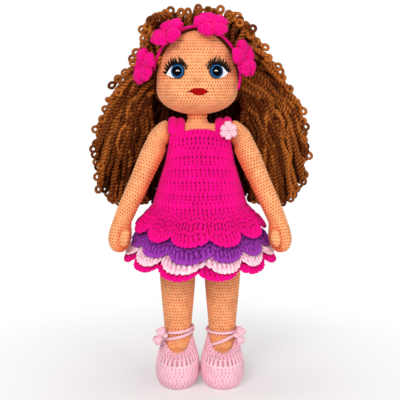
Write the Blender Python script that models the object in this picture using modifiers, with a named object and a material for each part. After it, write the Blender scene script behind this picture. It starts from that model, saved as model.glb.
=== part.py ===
"""A crocheted yarn doll in a ruffled dress.

Metres, +Z up. The origin is on the floor under the middle of the doll. It faces -Y, and its left
side is at +X. Every soft piece is its own solid: knitted skins are shells round their stuffing.
"""
import math

import bmesh
import bpy
from mathutils import Matrix, Vector

X = Vector((1, 0, 0))
Y = Vector((0, 1, 0))
Z = Vector((0, 0, 1))
SIDES = {"left": 1, "right": -1}

# Clearances and fabric
gap = 0.0003
fabric = 0.0024
overrun = 0.004
merge_distance = 0.00001

# Head: an egg that is widest at the cheeks
head_x = -0.0028
head_half_width = 0.0400
chin_z = 0.2740
cheek_z = 0.2990
head_top_z = 0.3600
head_depth_share = 0.97
chin_power = 2.2
brow_power = 2.6
head_sides = 20
head_steps = 12
stuffing_sides = 10

# Eyes, their felt, lashes and washers
eye_spread = 0.0182
eye_z = 0.3152
eye_radius = 0.0067
eye_dome = 0.0036
eye_shaft_radius = 0.0021
eye_shaft_length = 0.0094
eye_felt_back = 0.0012
eye_felt_front = 0.0020
washer_radius = 0.0058
washer_thickness = 0.0016
washer_clearance = 0.0009
lash_front = 0.0009
lash_reach = 0.0040
felt_reach = 0.0066

# Nose, lips and brows
nose_z = 0.3085
nose_half_width = 0.0032
nose_half_height = 0.0025
nose_half_depth = 0.0018
lips_z = 0.2960
lips_half_width = 0.0104
lips_half_height = 0.0031
lips_front = 0.0018
brow_x = 0.0175
brow_z = 0.3400
brow_half_width = 0.0036
brow_half_height = 0.0007

# Wig cap, hair and headband
cap_thickness = 0.0025
hair_split_z = 0.2900
hair_split_gap = 0.0006
hairline_half_width = 0.0372
hairline_spring_z = 0.3220
hairline_top_z = 0.3500
hairline_depth = 0.0600
hair_height = 0.0900
hair_half_width = 0.0970
hair_back_y = 0.0520
hair_front_y = -0.0300
band_radius = 0.0017
band_mid_z = 0.3180
band_top_y = -0.0220
band_top_z = 0.3560
band_lean = 0.237
band_half_sweep = 118

# Hair falls behind the arms
fall_height = 0.1120
fall_outer_x = 0.1115
fall_inner_x = 0.0430
fall_front_y = 0.0140
fall_back_y = 0.0420
nape_front_y = 0.0400
nape_back_y = 0.0540
nape_half_width = 0.0425
fall_spacing = 0.0010

# Flowers
flower_radius = 0.0180
flower_height = 0.0072
brooch_radius = 0.0085
brooch_height = 0.0042
brooch_x = 0.0262
brooch_z = 0.2590

# Torso and neck
torso_bottom_z = 0.1710
shoulder_z = 0.2655
hip_half_width = 0.0395
hip_half_depth = 0.0250
chest_half_width = 0.0300
neck_radius = 0.0100
neck_top_z = 0.2790
peg_radius = 0.0030
peg_bottom_z = 0.2150
peg_top_z = 0.3250
torso_power = 2.8
shoulder_share = 0.955

# Shoulders and arms
shoulder_pivot_y = -0.0045
shoulder_pivot_z = 0.2560
arm_root_x = 0.0380
arm_out = 23.8
arm_forward = 11.5
hand_out = 8.0
hand_forward = 9.0
arm_radius = 0.01075
arm_end_radius = 0.0093
arm_length = 0.0955
wrist_radius = 0.0090
hand_length = 0.0315
hand_half_width = 0.0110
hand_half_depth = 0.0094
thumb_half_width = 0.0040
thumb_half_depth = 0.0033
thumb_half_length = 0.0072
thread_radius = 0.0008
knot_radius = 0.0022

# Legs
leg_x = 0.0228
hip_z = 0.1522
thigh_radius = 0.0185
ankle_radius = 0.0134
ankle_z = 0.0500
foot_half_width = 0.0186
foot_length = 0.0360
foot_height = 0.0360

# Shoes, insoles, ties and bows
shoe_half_width = 0.0224
shoe_toe_y = -0.0400
shoe_heel_y = 0.0240
shoe_height = 0.0500
shoe_widest_z = 0.0170
insole_bottom_z = 0.0029
insole_thickness = 0.0014
insole_half_width = 0.0120
insole_half_length = 0.0200
insole_y = -0.0080
tie_radius = 0.0012
tie_z = 0.0520
tie_tilt = 7.0
bow_knot_radius = 0.0024
bow_loop_radius = 0.0042
bow_turn = 50.0

# Dress
dress_wall = 0.0024
dress_ease = 0.0010
armhole_z = 0.2420
neckline_rise = 0.0180
waist_z = 0.2260
skirt_top_z = 0.1870
skirt_hem_z = 0.1400
skirt_top_half_width = 0.0465
skirt_top_half_depth = 0.0385
skirt_hem_half_width = 0.0560
skirt_hem_half_depth = 0.0490
skirt_dip = 0.0100

# Shoulder straps
strap_x = 0.0224
strap_half_width = 0.0074
strap_half_thickness = 0.0017
strap_foot_z = 0.2503
strap_rise = 0.0175
strap_half_depth = 0.0208

# Ruffle tiers
tier_wall = 0.0018
tier_seat = 0.0005
tier_wave = 0.0018
tier_scallop = 0.0020
tier_flare = 1.30
tier_waves = 12
tier_sides = 48
upper_top_z = 0.1840
upper_hem_z = 0.1625
upper_half_width = 0.0650
upper_half_depth = 0.0580
purple_top_z = 0.1720
purple_hem_z = 0.1470
purple_half_width = 0.0690
purple_half_depth = 0.0610
pale_top_z = 0.1610
pale_hem_z = 0.1380
pale_half_width = 0.0735
pale_half_depth = 0.0625
lower_top_z = 0.1520
lower_hem_z = 0.1305
lower_half_width = 0.0750
lower_half_depth = 0.0630

# Ring sides of the tubes
limb_sides = 14
arm_sides = 12
leg_stuffing_sides = 7
arm_stuffing_sides = 6
cord_sides_level = 1


def linear(code):
    """Turn a hex colour into Blender's linear RGBA."""
    channels = [int(code[i:i + 2], 16) / 255 for i in (1, 3, 5)]
    bent = [c / 12.92 if c <= 0.04045 else ((c + 0.055) / 1.055) ** 2.4 for c in channels]
    return (*bent, 1)


SKIN = ("skin_yarn", "#F9B67D", 0.85)
PINK = ("hot_pink_yarn", "#F0087E", 0.80)
PURPLE = ("purple_yarn", "#8E2C98", 0.80)
PALE = ("pale_pink_yarn", "#F8CBD8", 0.85)
SHOE = ("shoe_yarn", "#F9C0CE", 0.85)
HAIR = ("hair_yarn", "#7A3D14", 0.85)
FILL = ("stuffing", "#F4F1EC", 0.95)
RED = ("lip_yarn", "#B00606", 0.80)
EYE = ("eye_plastic", "#17496F", 0.15)
FELT = ("white_felt", "#F4F0F5", 0.90)
BLACK = ("lash_thread", "#120B08", 0.70)
WASHER = ("washer_plastic", "#E9E6DF", 0.50)
WOOD = ("peg_wood", "#C79A63", 0.60)
BOARD = ("insole_board", "#B49A78", 0.90)


def collection(name):
    found = bpy.data.collections.new(name)
    bpy.context.scene.collection.children.link(found)
    return found


def new_material(name, finish):
    """One Principled material for one piece."""
    base, colour, roughness = finish
    made = bpy.data.materials.new(f"{base}_{name}")
    made.use_nodes = True
    shader = made.node_tree.nodes["Principled BSDF"]
    shader.inputs["Base Color"].default_value = linear(colour)
    shader.inputs["Roughness"].default_value = roughness
    shader.inputs["Metallic"].default_value = 0
    return made


def add_piece(name, mesh, finish):
    """Put a mesh in the doll's collection, or among the cutters when it has no finish."""
    piece = bpy.data.objects.new(name, mesh)
    if finish is None:
        cutters.objects.link(piece)
        piece.hide_render = True
        piece.display_type = "WIRE"
        return piece
    doll.objects.link(piece)
    mesh.materials.clear()
    mesh.materials.append(new_material(name, finish))
    mesh.shade_smooth()
    mesh.set_sharp_from_angle(angle=math.radians(40))
    return piece


def mesh_from(name, bm):
    bmesh.ops.recalc_face_normals(bm, faces=bm.faces)
    mesh = bpy.data.meshes.new(name)
    bm.to_mesh(mesh)
    bm.free()
    return mesh


def loft(name, rings, finish, joined=False):
    """Skin a row of rings, with the ends capped, or with the last ring joined to the first."""
    bm = bmesh.new()
    rows = [[bm.verts.new(point) for point in ring] for ring in rings]
    pairs = list(zip(rows, rows[1:]))
    if joined:
        pairs.append((rows[-1], rows[0]))
    for low, high in pairs:
        for i in range(len(low)):
            add_quad(bm, low[i], low[(i + 1) % len(low)], high[(i + 1) % len(low)], high[i])
    if not joined:
        bm.faces.new(rows[0])
        bm.faces.new(rows[-1])
    return add_piece(name, mesh_from(name, bm), finish)


def add_quad(bm, a, b, c, d):
    """Two triangles split along the shorter diagonal, so that nested skins split alike."""
    if (a.co - c.co).length < (b.co - d.co).length:
        bm.faces.new((a, b, c))
        bm.faces.new((a, c, d))
    else:
        bm.faces.new((a, b, d))
        bm.faces.new((b, c, d))


def rounded(value, power):
    """A cosine or sine bent towards a squarer outline."""
    return math.copysign(abs(value) ** (2 / power), value)


def section(centre, across, along, half_across, half_along, power=2, count=limb_sides):
    """A ring of points: an ellipse, squarer with a higher power."""
    ring = []
    for i in range(count):
        angle = math.tau * i / count
        right = half_across * rounded(math.cos(angle), power)
        up = half_along * rounded(math.sin(angle), power)
        ring.append(centre + across * right + along * up)
    return ring


def turned(name, profile, sides, place, finish):
    """Turn a profile of (radius, height) points, listed top to bottom on its outer side, about Z."""
    mesh = bpy.data.meshes.new(name)
    points = [(radius, 0, height) for radius, height in profile]
    edges = [(i, i + 1) for i in range(len(points) - 1)]
    closed_loop = profile[0][0] > 0 and profile[-1][0] > 0
    if closed_loop:
        edges.append((len(points) - 1, 0))
    mesh.from_pydata(points, edges, [])
    lathe = bpy.data.objects.new(name, mesh)
    bpy.context.scene.collection.objects.link(lathe)
    screw = lathe.modifiers.new("Screw", "SCREW")
    screw.steps = sides
    screw.render_steps = sides
    screw.use_merge_vertices = True
    screw.merge_threshold = merge_distance
    solid = evaluated_mesh(name, lathe)
    solid.transform(place)
    return add_piece(name, solid, finish)


def evaluated_mesh(name, source):
    """A piece's finished mesh in world space; the source object is removed."""
    bpy.context.view_layer.update()
    shown = source.evaluated_get(bpy.context.evaluated_depsgraph_get())
    mesh = bpy.data.meshes.new_from_object(shown)
    mesh.transform(source.matrix_world)
    bm = bmesh.new()
    bm.from_mesh(mesh)
    bmesh.ops.remove_doubles(bm, verts=bm.verts, dist=merge_distance)
    bm.to_mesh(mesh)
    bm.free()
    mesh.name = name
    bpy.data.objects.remove(source)
    return mesh


def plate(name, outline, thickness, place, finish):
    """A flat outline in local XY with a thickness along local Z."""
    curve = bpy.data.curves.new(name, "CURVE")
    curve.dimensions = "2D"
    curve.fill_mode = "BOTH"
    curve.extrude = thickness / 2
    spline = curve.splines.new("POLY")
    spline.points.add(len(outline) - 1)
    for point, (x, y) in zip(spline.points, outline):
        point.co = (x, y, 0, 1)
    spline.use_cyclic_u = True
    flat = bpy.data.objects.new(name, curve)
    bpy.context.scene.collection.objects.link(flat)
    flat.matrix_world = place
    return add_piece(name, evaluated_mesh(name, flat), finish)


def cord(name, points, radius, closed, finish):
    """A round cord through a list of points."""
    curve = bpy.data.curves.new(name, "CURVE")
    curve.dimensions = "3D"
    curve.bevel_depth = radius
    curve.bevel_resolution = cord_sides_level
    curve.use_fill_caps = not closed
    spline = curve.splines.new("POLY")
    spline.points.add(len(points) - 1)
    for point, place in zip(spline.points, points):
        point.co = (*place, 1)
    spline.use_cyclic_u = closed
    line = bpy.data.objects.new(name, curve)
    bpy.context.scene.collection.objects.link(line)
    return add_piece(name, evaluated_mesh(name, line), finish)


def ball(name, centre, turn, half_sizes, finish, segments=12, rings=8):
    """A sphere stretched to three half sizes."""
    bm = bmesh.new()
    bmesh.ops.create_uvsphere(bm, u_segments=segments, v_segments=rings, radius=1)
    stretch = Matrix.Diagonal((*half_sizes, 1))
    bm.transform(Matrix.Translation(centre) @ turn.to_4x4() @ stretch)
    return add_piece(name, mesh_from(name, bm), finish)


def combine(piece, cutter, operation):
    change = piece.modifiers.new(f"{operation}_{cutter.name}", "BOOLEAN")
    change.operation = operation
    change.object = cutter
    change.solver = "EXACT"


def facing(direction, up=Z):
    """A turn whose local Z looks along a direction, with local Y as near to up as it can be."""
    front = direction.normalized()
    side = up.cross(front).normalized()
    top = front.cross(side)
    return Matrix((side, top, front)).transposed()


def placed(centre, direction):
    return Matrix.Translation(centre) @ facing(direction).to_4x4()


# Head surface


def head_radius(height, grow=0):
    """The head's half width at a height, with its surface moved out by grow."""
    if height < cheek_z:
        reach = cheek_z - chin_z + grow
        power = chin_power
    else:
        reach = head_top_z - cheek_z + grow
        power = brow_power
    share = min(1, abs(height - cheek_z) / reach)
    return (head_half_width + grow) * (1 - share ** power) ** (1 / power)


def head_profile(grow, steps, lowest_radius=0, lowest_z=None):
    """Points from the crown down the outer side, as far as a hole's radius or a height."""
    points = []
    for i in range(steps + 1):
        angle = math.pi * i / steps
        power = brow_power if angle <= math.pi / 2 else chin_power
        reach = (head_top_z if angle <= math.pi / 2 else 2 * cheek_z - chin_z) - cheek_z + grow
        radius = (head_half_width + grow) * max(0, math.sin(angle)) ** (2 / power)
        height = cheek_z + reach * rounded(math.cos(angle), power)
        below_hole = angle > math.pi / 2 and radius < lowest_radius
        below_edge = lowest_z is not None and height <= lowest_z
        if below_hole or below_edge:
            break
        points.append((0 if i == 0 else radius, height))
    if lowest_z is not None:
        points.append((head_radius(lowest_z, grow), lowest_z))
    elif lowest_radius:
        share = lowest_radius / (head_half_width + grow)
        drop = (cheek_z - chin_z + grow) * (1 - share ** chin_power) ** (1 / chin_power)
        points.append((lowest_radius, cheek_z - drop))
    else:
        points.append((0, chin_z - grow))
    return points


head_place = Matrix.Translation((head_x, 0, 0)) @ Matrix.Diagonal((1, head_depth_share, 1, 1))


def head_shell(name, outer, inner, steps, finish, lowest_radius=0, lowest_z=None):
    """A layer over the head, between two distances from its surface."""
    outside = head_profile(outer, steps, lowest_radius, lowest_z)
    inside = head_profile(inner, steps, lowest_radius, lowest_z)
    return turned(name, outside + inside[::-1], head_sides, head_place, finish)


def face_point(x, height, grow=0):
    """The point of the face at a distance from its middle and a height."""
    radius = head_radius(height, grow)
    return Vector((head_x + x, -head_depth_share * math.sqrt(radius ** 2 - x ** 2), height))


def face_normal(x, height):
    """The outward direction of the face there."""
    step = gap
    point = face_point(x, height)
    beside = face_point(x + step, height) - point
    above = face_point(x, height + step) - point
    return beside.cross(above).normalized()


# Headband path


def band_plane_y(height):
    return band_top_y + (band_top_z - height) * band_lean


def band_point(sweep, grow):
    """The point at an angle from the top, on the headband's plane, at a distance from the head."""
    angle = math.radians(sweep)
    near = 0
    far = hair_half_width
    for _ in range(40):
        middle = (near + far) / 2
        height = band_mid_z + middle * math.cos(angle)
        x = middle * math.sin(angle)
        y = band_plane_y(height) / head_depth_share
        top = head_top_z + grow
        inside = height < top and math.hypot(x, y) < head_radius(height, grow)
        if inside:
            near = middle
        else:
            far = middle
    height = band_mid_z + near * math.cos(angle)
    return Vector((head_x + near * math.sin(angle), band_plane_y(height), height))


# Torso outline: share of the height, half width, half depth

torso_outline = [
    (0.000, hip_half_width * 0.886, hip_half_depth * 0.80),
    (0.030, hip_half_width, hip_half_depth * 0.96),
    (0.150, hip_half_width * 0.987, hip_half_depth * 1.04),
    (0.380, hip_half_width * 0.876, hip_half_depth * 0.96),
    (0.600, chest_half_width * 1.033, hip_half_depth * 0.82),
    (0.760, chest_half_width * 0.947, hip_half_depth * 0.70),
    (0.880, chest_half_width, hip_half_depth * 0.648),
    (shoulder_share, chest_half_width * 0.933, hip_half_depth * 0.504),
    (0.988, chest_half_width * 0.600, neck_radius * 1.06),
    (1.000, neck_radius * 1.15, neck_radius * 1.02),
]


def torso_height_at(share):
    return torso_bottom_z + (shoulder_z - torso_bottom_z) * share


def torso_half_sizes(height):
    """The torso's half width and half depth at a height."""
    rows = [(torso_height_at(share), wide, deep) for share, wide, deep in torso_outline]
    for (low, wide, deep), (high, next_wide, next_deep) in zip(rows, rows[1:]):
        if height <= high:
            mix = max(0, (height - low) / (high - low))
            return wide + (next_wide - wide) * mix, deep + (next_deep - deep) * mix
    return rows[-1][1:]


def torso_sections(grow, sides=head_sides):
    """Rings from the torso's underside to the top of the neck."""
    rings = []
    for share, wide, deep in torso_outline:
        height = torso_height_at(share)
        if share == 0:
            height -= grow
        shift = head_x * max(0, share - shoulder_share) / (1 - shoulder_share)
        power = torso_power if share <= shoulder_share else 2
        centre = Vector((shift, 0, height))
        rings.append(section(centre, X, Y, wide + grow, deep + grow, power, sides))
    for height in (shoulder_z + fabric, neck_top_z):
        centre = Vector((head_x, 0, height))
        radius = neck_radius + grow
        rings.append(section(centre, X, Y, radius, radius, 2, sides))
    return rings


def make_torso():
    """The knitted torso and neck, its stuffing, the neck peg and the arms' thread."""
    outer = torso_sections(0)
    inner = torso_sections(-fabric)
    skin = loft("torso_skin", outer + inner[::-1], SKIN)
    stuffing = loft("torso_stuffing", torso_sections(-fabric - gap, stuffing_sides), FILL)
    neck_peg(0, "neck_peg", WOOD)
    shoulder_thread(0, "shoulder_thread", PINK)
    thread_space = shoulder_thread(gap, "thread_space", None)
    peg_space = neck_peg(gap, "peg_space", None)
    combine(skin, thread_space, "DIFFERENCE")
    combine(stuffing, thread_space, "DIFFERENCE")
    combine(stuffing, peg_space, "DIFFERENCE")
    return peg_space, thread_space


def neck_peg(grow, name, finish):
    """A round peg from the chest up into the head."""
    radius = peg_radius + grow
    blunt = peg_radius / 3
    profile = [
        (0, peg_top_z + grow),
        (radius - blunt, peg_top_z + grow),
        (radius, peg_top_z - blunt),
        (radius, peg_bottom_z + blunt),
        (radius - blunt, peg_bottom_z - grow),
        (0, peg_bottom_z - grow),
    ]
    return turned(name, profile, 12, Matrix.Translation((head_x, 0, 0)), finish)


def shoulder_thread(grow, name, finish):
    """A thread from arm to arm with a knot in each arm, on which the arms turn."""
    radius = thread_radius + grow
    knot = knot_radius + grow
    knot_x = chest_half_width + gap + fabric + gap + knot_radius
    half = [(0, knot_x + knot)]
    neck_angle = math.asin(radius / knot)
    steps = 4
    for i in range(1, steps + 1):
        angle = i / steps * (math.pi - neck_angle)
        half.append((knot * math.sin(angle), knot_x + knot * math.cos(angle)))
    profile = half + [(r, -h) for r, h in half[::-1]]
    turn = Matrix.Rotation(math.radians(90), 4, "Y")
    place = Matrix.Translation((0, shoulder_pivot_y, shoulder_pivot_z)) @ turn
    return turned(name, profile, 10, place, finish)


def make_head(peg_space):
    """The knitted head, its stuffing, and what the face carries."""
    neck_hole = neck_radius / head_depth_share + gap
    skin = head_shell("head_skin", 0, -fabric, head_steps, SKIN, lowest_radius=neck_hole)
    core = head_profile(-fabric - gap, head_steps // 2)
    stuffing = turned("head_stuffing", core, stuffing_sides, head_place, FILL)
    neck_space_profile = [
        (0, neck_top_z + gap),
        (neck_hole, neck_top_z + gap),
        (neck_hole, chin_z - overrun),
        (0, chin_z - overrun),
    ]
    neck_place = Matrix.Translation((head_x, 0, 0))
    neck_space = turned("neck_space", neck_space_profile, 16, neck_place, None)
    combine(stuffing, neck_space, "DIFFERENCE")
    combine(stuffing, peg_space, "DIFFERENCE")
    felt_layer = head_shell("felt_layer", eye_felt_front, eye_felt_back, 2 * head_steps, None)
    lash_layer = head_shell("lash_layer", lash_front, gap, 2 * head_steps, None)
    lips_layer = head_shell("lips_layer", lips_front, gap, 2 * head_steps, None)
    for side, sign in SIDES.items():
        make_eye(side, sign, skin, stuffing)
        make_eye_trim(side, sign, felt_layer, lash_layer)
    lips = face_plate("lips", lips_outline(), RED)
    combine(lips, lips_layer, "INTERSECT")
    nose_seat = face_point(0, nose_z, gap + nose_half_depth)
    turn = facing(face_normal(0, nose_z))
    ball("nose", nose_seat, turn, (nose_half_width, nose_half_height, nose_half_depth), SKIN, 10, 6)


def make_eye(side, sign, skin, stuffing):
    """A plastic eye: a domed button on a shaft through the skin, held by a washer."""
    seat = face_point(sign * eye_spread, eye_z)
    out = face_normal(sign * eye_spread, eye_z)
    place = placed(seat, out)
    back = eye_felt_front + gap
    rim = eye_dome * 0.22
    eye_profile = [
        (0, back + eye_dome),
        (eye_radius * 0.42, back + eye_dome * 0.93),
        (eye_radius * 0.78, back + eye_dome * 0.66),
        (eye_radius, back + rim),
        (eye_radius * 0.96, back),
        (eye_shaft_radius, back),
        (eye_shaft_radius, back - eye_shaft_length),
        (0, back - eye_shaft_length),
    ]
    turned(f"eye_{side}", eye_profile, 14, place, EYE)
    hole = eye_shaft_radius + gap
    washer_top = -fabric - washer_clearance - washer_radius ** 2 / (2 * (head_half_width - fabric))
    washer_low = washer_top - washer_thickness
    washer_profile = [
        (washer_radius, washer_top),
        (washer_radius, washer_low),
        (hole, washer_low),
        (hole, washer_top),
    ]
    turned(f"eye_washer_{side}", washer_profile, 12, place, WASHER)
    shaft_end = back - eye_shaft_length - gap
    shaft_space_profile = [(0, overrun), (hole, overrun), (hole, shaft_end), (0, shaft_end)]
    shaft_space = turned(f"shaft_space_{side}", shaft_space_profile, 10, place, None)
    pocket = washer_radius + gap
    pocket_low = washer_low - gap
    washer_space_profile = [(0, overrun), (pocket, overrun), (pocket, pocket_low), (0, pocket_low)]
    washer_space = turned(f"washer_space_{side}", washer_space_profile, 12, place, None)
    combine(skin, shaft_space, "DIFFERENCE")
    combine(stuffing, washer_space, "DIFFERENCE")
    combine(stuffing, shaft_space, "DIFFERENCE")


def face_plate(name, outline, finish):
    """An outline in face coordinates, as a prism along Y that a layer then trims."""
    depth = 2 * head_half_width
    half = head_half_width
    turn = Matrix.Rotation(math.radians(90), 4, "X")
    place = Matrix.Translation((head_x, -half - overrun, 0)) @ turn
    return plate(name, outline, depth, place, finish)


def make_eye_trim(side, sign, felt_layer, lash_layer):
    """The white felt corner and the lashes on the outer and upper side of one eye."""
    middle = sign * eye_spread
    shaft = eye_shaft_radius + 2 * gap
    felt = [
        (middle + sign * shaft, eye_z + eye_radius * 0.42),
        (middle + sign * eye_radius * 0.9, eye_z + eye_radius * 0.30),
        (middle + sign * (eye_radius + felt_reach), eye_z - eye_radius * 0.50),
        (middle + sign * eye_radius * 0.8, eye_z - eye_radius * 0.84),
        (middle + sign * shaft, eye_z - eye_radius * 0.80),
    ]
    white = face_plate(f"eye_white_{side}", felt, FELT)
    combine(white, felt_layer, "INTERSECT")
    inner_line = []
    outer_line = []
    steps = 7
    for i in range(steps + 1):
        share = i / steps
        angle = math.radians(18 + 118 * share)
        spread = math.sin(math.pi * (0.15 + 0.85 * (1 - share)))
        reach = eye_radius + lash_reach * max(0, spread)
        inner = eye_radius * 0.55
        inner_line.append((middle + sign * inner * math.cos(angle), eye_z + inner * math.sin(angle)))
        outer_line.append((middle + sign * reach * math.cos(angle), eye_z + reach * math.sin(angle)))
    lash = face_plate(f"lashes_{side}", inner_line + outer_line[::-1], BLACK)
    combine(lash, lash_layer, "INTERSECT")
    brow = []
    for i in range(10):
        angle = math.tau * i / 10
        lift = brow_half_width * 0.35 * (1 - math.cos(angle) ** 2)
        x = sign * brow_x + brow_half_width * math.cos(angle)
        brow.append((x, brow_z + lift + brow_half_height * math.sin(angle)))
    thin = face_plate(f"brow_{side}", brow, BLACK)
    combine(thin, lash_layer, "INTERSECT")


def lips_outline():
    """A bow of lips: two peaks above, one curve below."""
    upper_shares = [(-1, 0.1), (-0.62, 0.72), (-0.28, 1.0), (0, 0.66), (0.28, 1.0), (0.62, 0.72)]
    lower_shares = [(1, 0.1), (0.62, -0.62), (0.25, -1.0), (-0.25, -1.0), (-0.62, -0.62)]
    return [
        (lips_half_width * x, lips_z + lips_half_height * z)
        for x, z in upper_shares + lower_shares
    ]


def make_cap():
    """The crocheted wig cap, open at the face along the hairline."""
    cap = head_shell("wig_cap", gap + cap_thickness, gap, head_steps, HAIR, lowest_z=cap_bottom_z())
    arch = [(hairline_half_width, chin_z), (hairline_half_width, hairline_spring_z)]
    steps = 10
    for i in range(1, steps):
        angle = math.pi * i / steps
        rise = (hairline_top_z - hairline_spring_z) * math.sin(angle)
        arch.append((hairline_half_width * math.cos(angle), hairline_spring_z + rise))
    arch += [(-hairline_half_width, hairline_spring_z), (-hairline_half_width, chin_z)]
    turn = Matrix.Rotation(math.radians(90), 4, "X")
    place = Matrix.Translation((head_x, -hairline_depth / 2, 0)) @ turn
    opening = plate("hairline_space", arch, hairline_depth, place, None)
    combine(cap, opening, "DIFFERENCE")


def cap_bottom_z():
    return hair_split_z + hair_split_gap


# Hair over the crown: share of the height, of the half width, and of the reach front to back

crown_shares = [
    (0.000, 1.000, 1.00, 1.00),
    (0.200, 0.885, 1.00, 1.00),
    (0.420, 0.700, 1.00, 0.98),
    (0.620, 0.600, 0.98, 0.94),
    (0.760, 0.520, 0.96, 0.80),
    (0.890, 0.380, 0.88, 0.54),
    (0.965, 0.230, 0.70, 0.28),
    (1.000, 0.080, 0.40, 0.08),
]


def make_crown(flowers):
    """The locks over and beside the head, as one mass round the wig cap."""
    rings = []
    for rise, wide, front, back in crown_shares:
        height = cap_bottom_z() + hair_height * rise
        near = hair_front_y * front
        far = hair_back_y * back
        centre = Vector((head_x * rise, (near + far) / 2, height))
        rings.append(section(centre, X, Y, hair_half_width * wide, (far - near) / 2, 2.2, 28))
    crown = loft("hair_crown", rings, HAIR)
    inside = gap + cap_thickness + gap
    head_space = turned("head_space", head_profile(inside, head_steps), head_sides, head_place, None)
    combine(crown, head_space, "DIFFERENCE")
    front_space = hair_front_space()
    combine(crown, front_space, "DIFFERENCE")
    for number, (centre, out) in enumerate(flowers):
        reach = hair_half_width
        start = centre - out * gap * 3
        bm = bmesh.new()
        bmesh.ops.create_cone(
            bm,
            cap_ends=True,
            segments=16,
            radius1=flower_radius + gap * 2,
            radius2=flower_radius + gap * 2,
            depth=reach,
        )
        bm.transform(placed(start + out * reach / 2, out))
        pocket = add_piece(f"flower_space_{number}", mesh_from("pocket", bm), None)
        combine(crown, pocket, "DIFFERENCE")


def hair_front_space():
    """Everything in front of the headband's plane."""
    size = 3 * hair_half_width
    lean = math.atan(band_lean)
    behind = band_radius + 2 * gap
    bm = bmesh.new()
    bmesh.ops.create_cube(bm, size=size)
    push = Matrix.Translation((0, -size / 2 + behind, 0))
    middle = Vector((0, band_plane_y(band_mid_z), band_mid_z))
    turn = Matrix.Rotation(lean, 4, "X")
    bm.transform(Matrix.Translation(middle) @ turn @ push)
    return add_piece("front_space", mesh_from("front_space", bm), None)


def make_headband():
    """A hot pink cord over the front of the cap, from cheek to cheek."""
    seat = gap + cap_thickness + gap + band_radius
    steps = 26
    path = []
    for i in range(steps + 1):
        sweep = band_half_sweep * (2 * i / steps - 1)
        path.append(band_point(sweep, seat))
    cord("headband", path, band_radius, False, PINK)


# Petal rings of a flower: share of the height, of the radius, and how deep the notches are

petal_shares = [
    (0.00, 0.62, 0.08),
    (0.22, 0.94, 0.16),
    (0.60, 1.00, 0.20),
    (1.00, 0.62, 0.14),
    (0.62, 0.16, 0.00),
]


def make_flower(name, centre, out, radius, height, finish):
    """Five puffy petals round a sunk middle, with a flat back at the centre point."""
    turn = facing(out)
    rings = []
    count = 20
    for rise, wide, notch in petal_shares:
        ring = []
        for i in range(count):
            angle = math.tau * i / count
            petal = abs(math.cos(2.5 * angle))
            reach = radius * wide * (1 - notch * (1 - petal) * 2)
            point = Vector((reach * math.sin(angle), reach * math.cos(angle), height * rise))
            ring.append(centre + turn @ point)
        rings.append(ring)
    return loft(name, rings, finish)


# Where the four flowers sit: angle from the top of the head, and the way they face

flower_places = {
    "flower_right_low": (-86, Vector((-0.84, -0.52, 0.12))),
    "flower_right_high": (-40, Vector((-0.42, -0.62, 0.66))),
    "flower_left_high": (17, Vector((0.16, -0.60, 0.78))),
    "flower_left_low": (76, Vector((0.84, -0.50, 0.20))),
}


def band_rise(centre, out):
    """How far the headband's cord stands above a flower's back plane, within the flower."""
    seat = gap + cap_thickness + gap + band_radius
    rise = 0
    steps = 60
    for i in range(steps + 1):
        offset = band_point(band_half_sweep * (2 * i / steps - 1), seat) - centre
        if offset.length < flower_radius + band_radius:
            rise = max(rise, offset.dot(out) + band_radius + gap)
    return rise


def make_flowers():
    """The four flowers on the headband; returns each one's seat and direction."""
    seats = []
    lift = gap + cap_thickness + gap + 2 * band_radius + gap
    for name, (sweep, out) in flower_places.items():
        out = out.normalized()
        centre = band_point(sweep, lift)
        centre += out * band_rise(centre, out)
        make_flower(name, centre, out, flower_radius, flower_height, PINK)
        seats.append((centre, out))
    return seats


# Hair falls: share of the height down, then shares of the inner and outer edge, front and back

side_fall_shares = [
    (0.000, 1.00, 0.85, -0.20, 1.04),
    (0.220, 0.80, 0.95, 0.95, 1.06),
    (0.450, 0.92, 1.00, 1.00, 1.04),
    (0.700, 1.04, 1.00, 1.02, 0.98),
    (0.880, 1.26, 0.93, 1.20, 0.90),
    (0.980, 1.50, 0.83, 1.60, 0.78),
]
nape_shares = [
    (0.000, 0.980, 1.00, 1.00),
    (0.220, 0.720, 0.62, 1.02),
    (0.450, 0.860, 0.70, 1.00),
    (0.700, 1.000, 0.84, 1.00),
    (0.880, 1.120, 0.97, 1.00),
    (0.980, 1.180, 1.08, 0.99),
]


def make_falls():
    """The locks that fall behind the shoulders: left, right and down the back."""
    for side, sign in SIDES.items():
        rings = []
        for drop, inner, outer, front, back in side_fall_shares:
            low = fall_inner_x * inner
            high = fall_outer_x * outer
            near = fall_front_y * front
            far = fall_back_y * back
            height = hair_split_z - fall_height * drop
            centre = Vector((sign * (low + high) / 2, (near + far) / 2, height))
            half_deep = (far - near) / 2
            rings.append(section(centre, X, Y, (high - low) / 2, half_deep, 3.2, 16))
        loft(f"hair_fall_{side}", rings, HAIR)
    rings = []
    for drop, wide, front, back in nape_shares:
        near = nape_front_y * front
        far = nape_back_y * back
        height = hair_split_z - fall_height * drop
        centre = Vector((0, (near + far) / 2, height))
        half_wide = nape_half_width * wide - fall_spacing
        rings.append(section(centre, X, Y, half_wide, (far - near) / 2, 3.2, 16))
    loft("hair_fall_back", rings, HAIR)


def arm_direction(out, forward, sign):
    """The way an arm points, from its angles out to the side and forward."""
    wide = math.radians(out)
    ahead = math.radians(forward)
    down = math.cos(wide)
    return Vector((sign * math.sin(wide), -down * math.sin(ahead), -down * math.cos(ahead)))


def shoulder_plane_x():
    return chest_half_width + gap


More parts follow.
